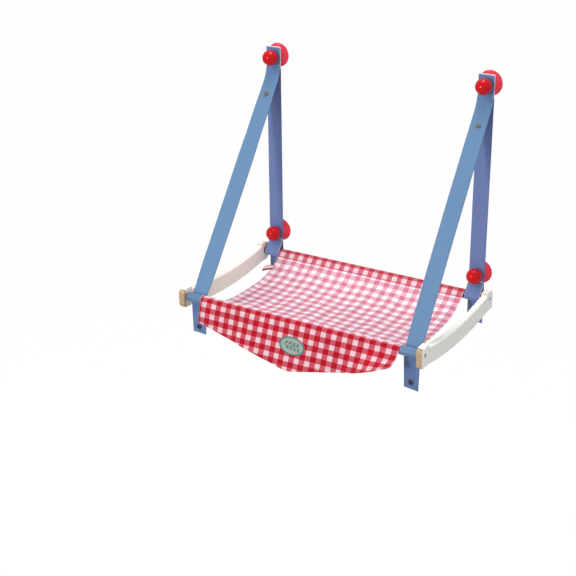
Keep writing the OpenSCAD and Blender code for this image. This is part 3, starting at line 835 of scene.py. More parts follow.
class CATPERCH_OT_sling(bpy.types.Operator):
    """Make the gingham sling between the two rails

    Its line is carried across the seat, narrower and lifted at its free edges half way along.
    Three crossing waves of a millimetre and less crease the part between the rails.
    """

    bl_idname = "catperch.sling"
    bl_label = "Sling"

    def execute(self, context):
        sizes = context.scene.perch_cloth
        colours = context.scene.perch_colours
        column, edge, cut, edge_seam, seam_back = 0.0042, 0.0006, 0.0005, 0.007, 0.001
        drawn_in, edge_lift, smooth_share = 0.0050, 0.0030, 0.16
        hem_in, hem_out, hem_more = 0.0075, 0.0088, 0.35
        front_double, rear_double = 0.30, 0.85
        line, leave, mid = sling_line(sizes)
        run = run_of(line)
        total = run[-1]
        free_a, free_b = run[leave], total - run[leave]
        rows = np.concatenate([np.linspace(0, free_a, 110), np.linspace(free_a, free_b, 130)[1:-1],
                               np.linspace(free_b, total, 110)])
        ends = opening(4, cut)[:-1]
        fine = np.concatenate([ends, rows[(rows > edge) & (rows < total - edge)], total - ends[::-1]])
        path = resampled(line, fine)
        width = 2 * SEAT_HALF
        across = spread(width, column, edge)
        x = across - SEAT_HALF
        share = np.clip((fine - free_a) / (free_b - free_a), 0, 1)
        middle_share = np.sin(np.pi * share)
        pull = 1 - drawn_in * middle_share[:, None] * np.abs(x / SEAT_HALF)[None] ** 3
        points = np.empty((len(fine), len(x), 3))
        points[..., 0] = eased(x[None], sizes, 1 - share[:, None]) * pull
        points[..., 1] = path[:, 0, None]
        loose = ease(0, smooth_share, share) * ease(0, smooth_share, 1 - share)
        y = path[:, 0, None]
        folds = (0.0008 * np.sin(2 * np.pi * x[None] / 0.071 + 1.0 + 9 * y)
                 + 0.0010 * np.sin(2 * np.pi * (x[None] / 0.173 + y / 0.31) + 2.0)
                 + 0.0006 * np.sin(2 * np.pi * (x[None] / 0.047 - y / 0.23)))
        lift = edge_lift * middle_share[:, None] * np.abs(x / SEAT_HALF)[None] ** 6
        points[..., 2] = path[:, 1, None] + folds * loose[:, None] + lift
        hem = 1 + hem_more * (1 - ease(hem_in, hem_out, np.minimum(across, width - across)))
        half = (sizes.cloth_t / 2 * edge_round(across, width, edge)[None] * hem[None]
                * edge_round(fine, total, cut)[:, None])
        half = np.where(loose[:, None] > 0.01, half, np.minimum(half, sizes.cloth_t / 2))
        row = np.interp(sizes.check_y, line[leave:2 * mid - leave, 0], run[leave:2 * mid - leave])
        lap = sizes.seam_run
        in_front = 1 - ease(free_a + lap, free_a + lap + seam_back, fine)
        in_rear = ease(free_b - lap - seam_back, free_b - lap, fine)
        in_sleeve = fine - (free_a - sizes.front_white) + sizes.repeat_y / 2
        place = np.where(in_front > 0.5, in_sleeve, fine - row)
        place = np.where(in_rear > 0.5, fine - (free_b + sizes.rear_red), place)
        uv = paired(x[None], place[:, None])
        double = front_double * in_front + rear_double * in_rear
        values = {"doubled": shell_value(double[:, None], half.shape)}
        piece = grid_object("sling_cloth", shell(points, half), shell_uv(uv), values=values)
        # The seat gets its lighter painted-light colours; where the cloth lies double in the sleeves, the
        # flap's unlit colours take over.
        strong = (colours.flap_white, colours.flap_mid, colours.flap_deep)
        gingham = gingham_material("lit_seat_gingham", sizes, colours.seat_deep_lit, colours.seat_mid_lit,
                                   colours.seat_white_lit, 0.0, doubled=strong)
        finish_piece(piece, gingham, "seat", ["seat_cloth"])
        thread = thread_material("gingham_thread", colours.thread)
        skin, normal = skin_of(points, half, (0, 0, 1))
        free = (fine > free_a + lap) & (fine < free_b - lap)
        for name, at in (("front", free_a + lap - seam_back), ("rear", free_b - lap + seam_back)):
            k = int(np.argmin(np.abs(fine - at)))
            stitches(f"{name}_sleeve_stitches", skin[k, 3:-3], normal[k, 3:-3], thread, "seat")
        for name, at in (("left", edge_seam), ("right", width - edge_seam)):
            j = int(np.argmin(np.abs(across - at)))
            stitches(f"{name}_edge_stitches", skin[free, j], normal[free, j], thread, "seat")
        return {"FINISHED"}


def flap_surface(sizes, x, fall):
    """Middle surface of the flap over a place across it and a fall from its crease.

    Its top follows an arc round the rail, and below the tangent each line falls straight at
    the flare, which changes towards the lower corners. Slow waves lift the loose part, and
    none lifts the patch's ground.
    """
    r = flap_radius(sizes)
    wrap = sizes.flap_wrap * r
    share = x[None] / SEAT_HALF
    long = flap_long(sizes, x)[None]
    down = np.clip(fall, 0, None)
    flare = (sizes.flap_flare + sizes.left_curl * ease(0.45, 1, -share) * down
             + sizes.right_curl * ease(0.5, 1, share) * down)
    angle = sizes.flap_flare + sizes.flap_wrap * np.clip(-fall, 0, None)
    tuck = 0.0007 * ease(0.55, 1.0, -fall)
    y = FRONT[1] - np.cos(angle) * (r - tuck) - np.sin(flare) * long * down
    z = FRONT[2] + np.sin(angle) * (r - tuck) - np.cos(flare) * long * down
    flat = 1 - np.exp(-((x[None] / 0.040) ** 4 + ((down * long - sizes.patch_drop) / 0.030) ** 4))
    wave = (0.0016 * np.sin(2 * np.pi * x[None] / 0.118 + 0.6) * down
            + 0.0010 * np.sin(2 * np.pi * x[None] / 0.052 + 2.1 + 2 * down) * down) * flat
    normal_y, normal_z = -np.cos(flare), np.sin(flare)
    places = (eased(x[None], sizes), y + wave * normal_y, z + wave * normal_z)
    run = np.where(fall < 0, fall * wrap, down * long)
    return np.stack(np.broadcast_arrays(*places), -1), run


def flap_radius(sizes):
    """Radius of the arc by which the flap lies on the sleeve."""
    return RAIL_R + sizes.cloth_t * 1.5 + sizes.flap_gap


def flap_long(sizes, x):
    """Fall of the flap at a place across it: straight from its ends to a blunt middle.

    Near its right end it falls a little more.
    """
    share = np.abs(x) / SEAT_HALF
    soft = np.sqrt(share ** 2 + 0.045 ** 2) - 0.008
    more = sizes.right_drop * ease(0.50, 0.95, x / SEAT_HALF)
    return sizes.flap_end + (sizes.flap_mid - sizes.flap_end) * (1 - np.clip(soft, 0, 1)) + more


class CATPERCH_OT_flap(bpy.types.Operator):
    """Make the gingham flap that hangs from the front rail

    Its surface gets its thickness, more along the hem, and three rows of stitches by the hem.
    """

    bl_idname = "catperch.flap"
    bl_label = "Front flap"

    def execute(self, context):
        sizes = context.scene.perch_cloth
        colours = context.scene.perch_colours
        column, edge, end_share = 0.0036, 0.0007, 0.007
        hem_seam, hem_out, hem_more = 0.0085, 0.0100, 0.30
        top_run, top_round = 0.0047, 0.0025
        width = 2 * SEAT_HALF
        across = spread(width, column, edge)
        x = across - SEAT_HALF
        near = opening(5, end_share)
        fall = np.concatenate([-1 + near * 10, np.linspace(-0.9, 0, 9)[:-1],
                               np.linspace(0, 1 - end_share, 44), 1 - near[-2::-1]])[:, None]
        points, run = flap_surface(sizes, x, fall)
        long = flap_long(sizes, x)
        low = (1 - np.clip(fall, 0, 1)) * long[None]
        side = np.minimum(across, width - across)[None]
        hem = 1 + hem_more * (1 - ease(hem_seam, hem_out, np.minimum(low, side))) * (fall > 0.05)
        half = (sizes.cloth_t / 2 * hem * edge_round(across, width, edge)[None]
                * edge_round(np.clip(low, 0, 0.01), 1.0, edge)
                * edge_round((fall + 1) * top_run, 1.0, top_round))
        piece = grid_object("flap_cloth", shell(points, half), shell_uv(paired(x[None], run)))
        gingham = gingham_material("flap_gingham", sizes, colours.flap_deep, colours.flap_mid,
                                   colours.flap_white, sizes.flap_check, heavy=1.0)
        finish_piece(piece, gingham, "flap", ["front_flap"])
        thread = thread_material("flap_thread", colours.flap_mid)
        skin, normal = skin_of(points, half, (0, -1, 0))
        rows = fall[:, 0] > 0.02
        for name, at in (("left", hem_seam), ("right", width - hem_seam)):
            j = int(np.argmin(np.abs(across - at)))
            stitches(f"flap_{name}_stitches", skin[rows, j][:-5], normal[rows, j][:-5],
                                 thread, "flap")
        cols = np.flatnonzero(side[0] > 0.008)
        rows_at = np.interp((1 - hem_seam / long)[cols], fall[:, 0], np.arange(len(fall)))
        above = np.floor(rows_at).astype(int)
        under = np.minimum(above + 1, len(fall) - 1)
        part = (rows_at - above)[:, None]
        lower = skin[above, cols] * (1 - part) + skin[under, cols] * part
        stitches("flap_lower_stitches", lower, unit(normal[above, cols]), thread, "flap")
        return {"FINISHED"}


class CATPERCH_OT_patch(bpy.types.Operator):
    """Make the oval patch on the flap: an ellipse with a raised cord as its border, and a sprig"""

    bl_idname = "catperch.patch"
    bl_label = "Patch"

    def execute(self, context):
        sizes = context.scene.perch_cloth
        colours = context.scene.perch_colours
        radius = np.concatenate([np.linspace(0, 0.80, 36), np.linspace(0.82, 1.0, 14)])
        columns, border_in, border_out, border_stitches = 120, 0.850, 0.862, 84
        cord_at, cord_half = 0.925, 0.075
        ground, cord_high, tooth_high, leaf_high = 0.00055, 0.00055, 0.00006, 0.00022
        turn = np.arange(columns) * 2 * np.pi / columns
        a = radius[:, None] * np.cos(turn)[None] * sizes.patch_w / 2
        b = radius[:, None] * np.sin(turn)[None] * sizes.patch_h / 2
        leaf = leaf_share(a, b)
        border = ease(border_in, border_out, radius)[:, None] * np.ones_like(a)
        cord = np.sqrt(np.clip(1 - ((radius - cord_at) / cord_half) ** 2, 0, 1))[:, None]
        teeth = 0.5 + 0.5 * np.cos(turn * border_stitches)[None]
        height = ground + cord_high * border * cord + tooth_high * teeth * border + leaf_high * leaf
        height = height * np.where(radius > 0.995, 0.25, 1.0)[:, None]
        flare = sizes.flap_flare
        down = np.array([0.0, -math.sin(flare), -math.cos(flare)])
        out = np.array([0.0, -math.cos(flare), math.sin(flare)])
        r = RAIL_R + sizes.cloth_t * 2.0 + sizes.flap_gap
        origin = np.array([sizes.patch_x, FRONT[1], FRONT[2]]) + out * r + down * sizes.patch_drop
        sunk = 0.00015
        base = origin - out * sunk
        c, s = math.cos(sizes.patch_turn), math.sin(sizes.patch_turn)
        long = c * np.array([1.0, 0, 0]) + s * down
        short = c * down - s * np.array([1.0, 0, 0])
        back = base + a[..., None] * long - b[..., None] * short
        points = np.concatenate([back + height[..., None] * out, back[::-1]])
        flat = np.stack([a, b], -1)
        both = np.concatenate([flat, flat[::-1]])
        uv = np.concatenate([both, both[:, :1]], 1)
        values = {"border": np.concatenate([border, border[::-1]]),
                  "leaf": np.concatenate([leaf, leaf[::-1]])}
        piece = grid_object("oval_patch", points, uv, values=values, sharp=60)
        finish_piece(piece, patch_material("patch_twill", colours), "flap",
                     ["flap_patch"])
        return {"FINISHED"}


def leaf_share(a, b):
    """A sprig: a thin curved stem with eight almond leaves, each where an oval is under one."""
    stem_half, leaf_half, leaf_wide = 0.0215, 0.0055, 0.0026
    total = np.exp(-((b - 0.0018 * np.sin(a * 130)) / 0.0007) ** 4) * (np.abs(a) < stem_half)
    for k in range(8):
        up = 1 if k % 2 == 0 else -1
        cx, cy, tilt = -0.0150 + 0.0047 * k, up * 0.0050, 0.85 * up
        c, s = math.cos(tilt), math.sin(tilt)
        p, q = (a - cx) * c + (b - cy) * s, -(a - cx) * s + (b - cy) * c
        bow = np.abs(q) / np.clip(leaf_wide * (1 - (p / leaf_half) ** 2), 1e-6, None)
        total = np.maximum(total, (np.abs(p) < 0.0054) * (1 - ease(0.85, 1.05, bow)))
    return total


class CATPERCH_OT_tag(bpy.types.Operator):
    """Make the folded ribbon on the sling's left edge

    A line goes out, round the fold and back under itself, bows down by a power of the way to its
    tip, and is carried across the ribbon's width.
    """

    bl_idname = "catperch.tag"
    bl_label = "Ribbon tag"

    def execute(self, context):
        sizes = context.scene.perch_cloth
        colours = context.scene.perch_colours
        ribbon_half, edge, above_sling, gap, fold_x, fold_z = 0.00028, 0.0003, 0.0018, 0.00095, 0.0016, 0.0014
        y0 = REAR[1] - sizes.tag_place
        line, leave, mid = sling_line(sizes)
        top = line[leave:2 * mid - leave]
        z0 = float(np.interp(y0, top[:, 0], top[:, 1])) + above_sling
        turn = np.linspace(np.pi / 2, 1.5 * np.pi, 14)
        tip = np.stack([-sizes.tag_l + fold_x + fold_x * np.cos(turn), fold_z * np.sin(turn)], -1)
        upper = np.stack([np.linspace(0.006, -sizes.tag_l + fold_x, 16)[:-1],
                          np.interp(np.linspace(0, 1, 16)[:-1], [0, 0.3, 1], [gap, gap, fold_z])], -1)
        path = np.concatenate([upper, tip, (upper * (1, -1))[::-1]])
        run = run_of(path)
        places = np.linspace(0, run[-1], 56)
        path = resampled(path, places)
        across = spread(sizes.tag_w, 0.0011, edge)
        rise = -sizes.tag_fall
        points = np.empty((len(path), len(across), 3))
        bow = 0.0009 * np.sin(np.pi * across / sizes.tag_w)
        k = int(np.argmin(np.abs(top[:, 0] - y0)))
        tilt = math.atan2(*(top[k + 2] - top[k - 2])[::-1])
        wide = (across - sizes.tag_w / 2)[None]
        hang = sizes.tag_droop * np.clip(-path[:, 0, None] / sizes.tag_l, 0, 1) ** 1.6
        up = path[:, 1, None] - path[:, 0, None] * math.sin(rise) + bow[None] * (path[:, 0, None] < 0)
        points[..., 0] = (path[:, 0] * math.cos(rise))[:, None] - SEAT_HALF
        points[..., 1] = y0 + wide * math.cos(tilt) - up * math.sin(tilt)
        points[..., 2] = z0 + wide * math.sin(tilt) + up * math.cos(tilt) - hang
        half = ribbon_half * edge_round(across, sizes.tag_w, edge)[None] * np.ones((len(path), 1))
        piece = grid_object("ribbon_tag", shell(points, half), shell_uv(paired(wide, places[:, None])))
        total = float(run[-1])
        finish_piece(piece, ribbon_material("tag_ribbon", colours, total / 2), "seat",
                     ["side_tag"])
        return {"FINISHED"}


# Webbing

def strap_frames(line, places, twist=None):
    """Points, widths and outward normals along a strap in a plane of Y and Z."""
    point = resampled(line, places)
    ahead = unit(resampled(line, places + 0.0006) - resampled(line, places - 0.0006))
    centre = np.stack([np.zeros(len(places)), point[:, 0], point[:, 1]], -1)
    go = np.stack([np.zeros(len(places)), ahead[:, 0], ahead[:, 1]], -1)
    wide = np.tile([1.0, 0.0, 0.0], (len(places), 1))
    out = np.cross(wide, go) * -1
    if twist is not None:
        turn = twist(places)[:, None]
        wide, out = wide * np.cos(turn) + out * np.sin(turn), out * np.cos(turn) - wide * np.sin(turn)
    return centre, wide, out


def strap_object(name, line, first, last, x0, twist=None, cut_ends=(False, False), lean=None):
    """Webbing along a line: a rounded strip, its width across and its length as the pattern."""
    row = 0.0028
    inner = np.linspace(first, last, max(12, int((last - first) / row)))[1:-1]
    ends = opening(4, STRAP_CUT)[:-1]
    begin = first + ends if cut_ends[0] else np.array([first])
    finish = last - ends[::-1] if cut_ends[1] else np.array([last])
    places = np.concatenate([begin, inner[(inner > begin[-1] + 1e-4) & (inner < finish[0] - 1e-4)], finish])
    centre, wide, out = strap_frames(line, places, twist)
    if lean is not None:
        centre[:, 0] += lean(places)
    across = spread(STRAP_W, STRAP_STEP, STRAP_EDGE)
    aside = across - STRAP_W / 2
    ripple = 0.00018 * np.sin(places / 0.021)[:, None] * np.cos(across / 0.013 + 1)[None]
    mid = (centre[:, None] + np.array([x0, 0, 0]) + wide[:, None] * aside[None, :, None]
           + out[:, None] * ripple[..., None])
    fade = np.ones(len(places))
    for is_cut, inside in zip(cut_ends, (places - first, last - places)):
        if is_cut:
            fade = fade * np.sqrt(1 - (1 - np.clip(inside / STRAP_CUT, 0, 1)) ** 2)
    half = STRAP_T / 2 * edge_round(across, STRAP_W, STRAP_EDGE)[None] * fade[:, None]
    uv = paired(aside[None], places[:, None])
    # Share of painted shade: the normal's Y part to the sixth power, 1 where the webbing hangs straight down.
    values = {"hang": shell_value(np.abs(out[:, 1:2]) ** 6, half.shape)}
    return grid_object(name, shell(mid, half), shell_uv(uv), values=values)


class CATPERCH_OT_rear_straps(bpy.types.Operator):
    """Make the two straps that stand flat on the cups, each a straight line with a width"""

    bl_idname = "catperch.rear_straps"
    bl_label = "Rear straps"

    def execute(self, context):
        colours = context.scene.perch_colours
        # The rear straps take the violet painted-shade colour of the webbing.
        material = webbing_material("rear_webbing", colours.rear_strap)
        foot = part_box("rear_strap_right")[0][2]
        line = np.array([[REAR_STRAP_Y, STRAP_TOP], [REAR_STRAP_Y, foot]])
        for side, sign in SIDES:
            piece = strap_object(f"rear_webbing_{side}", line, 0.0, STRAP_TOP - foot, sign * STRAP_X,
                                 cut_ends=(True, True))
            finish_piece(piece, material, "window_mount", [f"rear_strap_{side}"])
        return {"FINISHED"}


def front_line(straps):
    """The front strap in Y and Z: down its tab, out along the slant, and down its tail.

    With the line come its corners, the length along it to the bend and the slant's length.
    """
    bend_radius, tail_radius, step = 0.074, 0.014, 0.001
    corners = [(TAB_Y, STRAP_TOP), (TAB_Y, straps.bend_z), (straps.seam_y, straps.seam_z),
               (straps.seam_y, straps.seam_z - straps.tail)]
    line = filleted(corners, (bend_radius, tail_radius), step)
    slant = np.array(corners[2]) - np.array(corners[1])
    bend_at = STRAP_TOP - straps.bend_z
    return line, np.array(corners), bend_at, float(np.linalg.norm(slant))


def strap_turn(straps, side, bend_at, top, total):
    """Turn of a front strap about its length: a sway on the slant and a twist on the tail."""
    twist, sway = getattr(straps, f"twist_{side}"), getattr(straps, f"sway_{side}")

    def turn(places):
        """The sway comes in two steps past the bend and is gone at the tail's top."""
        slant = 0.4 * ease(bend_at + 0.03, bend_at + 0.10, places)
        slant = slant + 0.6 * ease(bend_at + 0.14, bend_at + 0.22, places)
        slant = slant * (1 - ease(top - 0.09, top - 0.012, places))
        return sway * slant + twist * ease(top - 0.010, total, places)

    return turn


def strap_shift(straps, side, bend_at, top):
    """Shift of a front strap along X at each place: none at its bend, the whole at its loop."""
    shift = getattr(straps, f"shift_{side}")
    return lambda places: shift * np.clip((places - bend_at) / (top - bend_at), 0, 1) ** 2.2


class CATPERCH_OT_front_straps(bpy.types.Operator):
    """Make the two slanted straps, with a soft bend at each joint

    One filleted line is cut in three on each side, so that each part blends over one joint.
    """

    bl_idname = "catperch.front_straps"
    bl_label = "Front straps"

    def execute(self, context):
        straps = context.scene.perch_straps
        colours = context.scene.perch_colours
        # The front webbing turns to the tail colour, painted shade, where it hangs straight.
        material = webbing_material("front_webbing", colours.strap, hanging_shade=colours.tail)
        line, corners, bend_at, slant = front_line(straps)
        total = run_of(line)[-1]
        seam_a = bend_at + 0.100
        top = bend_at + slant
        seam_b = top - 0.070
        for side, sign in SIDES:
            x0 = sign * STRAP_X
            twist = strap_turn(straps, side, bend_at, top, total)
            lean = strap_shift(straps, side, bend_at, top)
            head = strap_object(f"front_webbing_head_{side}", line, 0.0, seam_a, x0, twist=twist,
                                cut_ends=(True, False), lean=lean)
            finish_piece(head, material, None, [f"front_strap_tab_{side}"])
            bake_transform(head)
            span = strap_object(f"front_webbing_slant_{side}", line, seam_a, seam_b, x0, twist=twist,
                                lean=lean)
            finish_piece(span, material, None, [f"front_strap_upper_{side}"])
            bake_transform(span)
            end = strap_object(f"front_webbing_tail_{side}", line, seam_b, total, x0, twist=twist,
                               cut_ends=(False, True), lean=lean)
            finish_piece(end, material, None,
                         [f"front_strap_lower_{side}", f"front_strap_tail_{side}"])
            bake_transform(end)
        return {"FINISHED"}


def front_loop_line(r):
    """A full ring round the rail, in Y and Z from its axis."""
    turn = np.linspace(0, 2 * np.pi, 109)
    return r * np.stack([np.cos(turn), np.sin(turn)], -1)


def rear_loop_line(straps, r):
    """A tear drop: flat on the strap, slanting on a tangent to the tube, round it and up its back."""
    corner_radius, step, back_low, back_high = 0.007, 0.0005, 0.35, 0.0040
    lean = 2 * math.atan2(straps.loop_rise, r)
    top = filleted([(r, straps.loop_rise + straps.loop_sewn), (r, straps.loop_rise),
                    (r * math.cos(lean), r * math.sin(lean))], (corner_radius,), step)
    turn = np.linspace(lean, 2 * np.pi, 90)
    loose = straps.loop_loose * np.sin(np.pi * np.clip((turn - lean) / (1.6 * np.pi - lean), 0, 1)) ** 2
    ring = (r + loose)[:, None] * np.stack([np.cos(turn), np.sin(turn)], -1)
    back = np.array([[r, back_low * straps.loop_rise], [r, straps.loop_rise - back_high]])
    return np.concatenate([top, ring[1:], back])


class CATPERCH_OT_loops(bpy.types.Operator):
    """Make the webbing loops that hold the rails

    A ring round the front rail and a drop round the rear rail are carried along X.
    """

    bl_idname = "catperch.loops"
    bl_label = "Loops"

    def execute(self, context):
        colours = context.scene.perch_colours
        straps = context.scene.perch_straps
        # The front loops' darker webbing colour is painted shade.
        front = webbing_material("front_loop_webbing", colours.loop, 1.12, dull=0.34)
        # The rear loops take the rear straps' violet painted-shade colour, a little lighter.
        rear = webbing_material("rear_loop_webbing", colours.rear_strap, 1.25)
        thread = thread_material("webbing_thread", colours.strap_thread)
        r = extent("front_strap_loop_right")[2] / 2 - STRAP_T / 2
        rows = 120
        across = spread(STRAP_W, STRAP_STEP, STRAP_EDGE)
        for end, centre, material, body, line, seams in (
                ("front", FRONT, front, "seat", front_loop_line(r), (0.11, 0.89)),
                ("rear", REAR, rear, "window_mount", rear_loop_line(straps, r), (0.02, 0.30))):
            run = run_of(line)
            places = np.linspace(0, run[-1], rows + 1)
            path = resampled(line, places)
            ahead = np.gradient(path, axis=0)
            out = unit(np.stack([ahead[:, 1], -ahead[:, 0]], -1))
            closed = end == "front"
            inner = slice(1, -1) if closed else slice(None)
            if closed:
                path[-1], out[0], out[-1] = path[0], (1, 0), (1, 0)
            for side, sign in SIDES:
                x0 = sign * STRAP_X + (getattr(straps, f"shift_{side}") if closed else 0.0)
                mid = np.empty((len(places), len(across), 3))
                mid[..., 0] = x0 - STRAP_W / 2 + across[None]
                wave = 0.00012 * np.sin(across / 0.006 + 1.0)[None] * np.sin(places / 0.009)[:, None]
                fade = np.sin(np.pi * places / run[-1])[:, None] * wave
                mid[..., 1] = centre[1] + path[:, 0, None] + fade * out[:, 0, None]
                mid[..., 2] = centre[2] + path[:, 1, None] + fade * out[:, 1, None]
                half = STRAP_T / 2 * edge_round(across, STRAP_W, STRAP_EDGE)[None]
                uv = paired((across - STRAP_W / 2)[None], places[:, None])
                piece = grid_object(f"{end}_loop_{side}", shell(mid, half)[inner], shell_uv(uv)[inner])
                finish_piece(piece, material, body, [f"{end}_strap_loop_{side}"])
                for row, share in zip(("first", "second"), seams):
                    k = int(round(share * rows))
                    n = np.array([0.0, out[k, 0], out[k, 1]])
                    if n @ (mid[k, 0] - [mid[k, 0, 0], centre[1], centre[2]]) < 0:
                        n = -n
                    at = mid[k][[3, -4]] + n * (STRAP_T / 2 + 1.2 * STITCH_LIFT)
                    stitches(f"{end}_loop_{row}_stitches_{side}", at, np.array([n, n]), thread, body,
                             pitch=0.0030, radius=0.0003)
        return {"FINISHED"}


# Wood

STEP_ROUND = 0.002  # the round at the top of the step from the bar to a head


def arm_outline(sizes, t, corner_r):
    """Top and foot of an arm at a distance from its middle: two arcs, and a head at the end."""
    a = np.abs(t)
    top = sizes.top_r - np.sqrt(sizes.top_r ** 2 - a ** 2)
    foot = sizes.foot_r - sizes.mid_foot - np.sqrt(sizes.foot_r ** 2 - a ** 2)
    step = sizes.half - sizes.head_l
    crown = sizes.head_top - STEP_ROUND + arc_height(STEP_ROUND, step + STEP_ROUND - a)

    def bend(r):
        """How far a corner of a given radius falls back towards the end."""
        return r - arc_height(r, a - (sizes.half - r))

    head = a >= step
    top = np.where(head, crown - bend(sizes.crown_r), top)
    foot = np.where(head, bend(corner_r) - sizes.head_foot, foot)
    return top, foot


def arm_rows(sizes):
    """Places along an arm: even on the bar, close at the steps, corners and ends."""
    step, end = sizes.half - sizes.head_l, sizes.half
    bar = np.linspace(0, step - 0.0004, int(step / 0.0011))
    rise = step + opening(7, STEP_ROUND)
    head = np.linspace(step + 0.0025, end - sizes.crown_r, 18)
    turn = end - sizes.crown_r * (1 - np.sin(np.linspace(0, np.pi / 2, 40)))[1:]
    half = np.concatenate([bar, rise, head, turn])
    return np.concatenate([-half[:0:-1], half])


class CATPERCH_OT_arms(bpy.types.Operator):
    """Make the two whitewashed side arms

    A rounded box is carried along each arm, between the arm's top and foot. The inner side and
    the top have soft bands, a cosine along the arm. The outer side has a hollow at each screw.
    """

    bl_idname = "catperch.arms"
    bl_label = "Side arms"

    def execute(self, context):
        sizes = context.scene.perch_arm
        colours = context.scene.perch_colours
        material = whitewash_material("whitewashed_pine", colours)
        t = arm_rows(sizes)
        e = sizes.edge_r
        wide = sizes.thick / 2
        squeeze = wide - e + arc_height(e, np.abs(t) - (sizes.half - e))
        across, upright = 9, 43
        sink_in, sink_out, face_in, face_out = 0.0038, 0.0066, 0.0100, 0.0060
        cap_shares = np.array([0.0, 0.3, 0.62, 0.88])
        caps_n = len(cap_shares)
        arc = np.linspace(0, np.pi / 2, 7)
        flat_x = np.linspace(-1, 1, across + 2)[1:-1]
        flat_z = np.linspace(-1, 1, upright + 2)[1:-1]
        step = sizes.half - sizes.head_l
        on_bar = 1 - ease(step - 0.004, step - 0.001, np.abs(t))
        bands = (0.5 + 0.5 * np.cos(2 * np.pi * t / sizes.band)) ** 0.7
        for side, sign in SIDES:
            top, foot = arm_outline(sizes, t, getattr(sizes, f"corner_{side}"))
            hx, hz = squeeze - e, (top - foot) / 2 - e
            cz = (top + foot) / 2

            def corner(sx, sz, angles, hx=hx, hz=hz):
                """Quarter round at one corner of each section."""
                return sx * (hx[:, None] + e * np.cos(angles)), sz * (hz[:, None] + e * np.sin(angles))

            def level(sz, places, hx=hx, hz=hz):
                """Flat top or foot of each section."""
                return places * hx[:, None], sz * (hz + e)[:, None] * np.ones(across)

            def wall(sx, places, hx=hx, hz=hz):
                """Flat side of each section."""
                return sx * (hx + e)[:, None] * np.ones(upright), places * hz[:, None]

            walk = [corner(1, 1, arc), level(1, flat_x[::-1]), corner(-1, 1, arc[::-1]),
                    wall(-1, flat_z[::-1]), corner(-1, -1, arc), level(-1, flat_x),
                    corner(1, -1, arc[::-1]), wall(1, flat_z)]
            px = np.concatenate([part[0] for part in walk], 1)
            pz = np.concatenate([part[1] for part in walk], 1) + cz[:, None]
            is_top = ease(0.2, 0.9, (pz - cz[:, None]) / (hz + e)[:, None])
            inner = ease(0.3, 0.9, -px / wide)
            relief = -sizes.band_h * (1 - bands)[:, None] * on_bar[:, None]
            x = px - relief * inner
            z = pz + relief * is_top * 1.5
            outer = px > wide * 0.97
            for y_at in (FRONT[1], REAR[1]):
                far = np.hypot(t[:, None] + MID_Y - y_at, z)
                x = np.where(outer, x - sizes.sink * (1 - ease(sink_in, sink_out, far)), x)
            ring = np.stack([sign * (ARM_X + x), (MID_Y + t)[:, None] + 0 * x, FRONT[2] + z], -1)
            caps = []
            for k in (0, -1):
                heart = ring[k].mean(axis=0)
                caps.append(heart + (ring[k] - heart) * cap_shares[:, None, None])
            points = np.concatenate([caps[0], ring, caps[1][::-1]])
            riser = (np.abs(np.abs(t) - step - 0.0001) < 0.0007).astype(float)
            below = 1 - ease(sizes.head_top - 0.20 * sizes.crown_r, sizes.head_top - 0.06 * sizes.crown_r, z)
            face = ease(sizes.half - face_in, sizes.half - face_out, np.abs(t))[:, None] * below
            face = face * (1 - ease(wide * 0.70, wide * 0.94, px))
            face = np.maximum(face, riser[:, None] * is_top * 0.4)

            def pad(v):
                """A value over the bar, held over both end caps."""
                return np.concatenate([np.repeat(v[:1], caps_n, 0), v, np.repeat(v[-1:], caps_n, 0)])

            # Where banded is low, the whitewash paints shade into the bands' dips.
            crest = np.maximum(inner, is_top)
            banded = np.maximum(bands[:, None], (1 - on_bar[:, None]) * crest + (1 - crest))
            # inner also drives the warm painted light from the cloth on the inner sides.
            values = {"inner": pad(inner), "end_grain": pad(face), "bands": pad(banded)}
            around = np.linspace(0, 0.12, px.shape[1] + 1)
            uv = paired(pad(t + sizes.half)[:, None], around[None])
            piece = grid_object(f"pine_arm_{side}", points, uv, values=values, sharp=50)
            finish_piece(piece, material, "seat", [f"side_arm_{side}"])
        return {"FINISHED"}


class CATPERCH_OT_rails(bpy.types.Operator):
    """Give the two dowels their dark brown, which is painted shade"""

    bl_idname = "catperch.rails"
    bl_label = "Rails"

    def execute(self, context):
        material = dowel_material("shaded_dowel", context.scene.perch_colours.rail)
        for name in ("front_rail", "rear_rail"):
            paint_node(name, material)
        return {"FINISHED"}


def paint_node(name, material):
    """Puts a material in every slot of a CAD node's object."""
    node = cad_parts[name]
    if not node.material_slots:
        node.data.materials.append(material)
    for held in node.material_slots:
        held.material = material


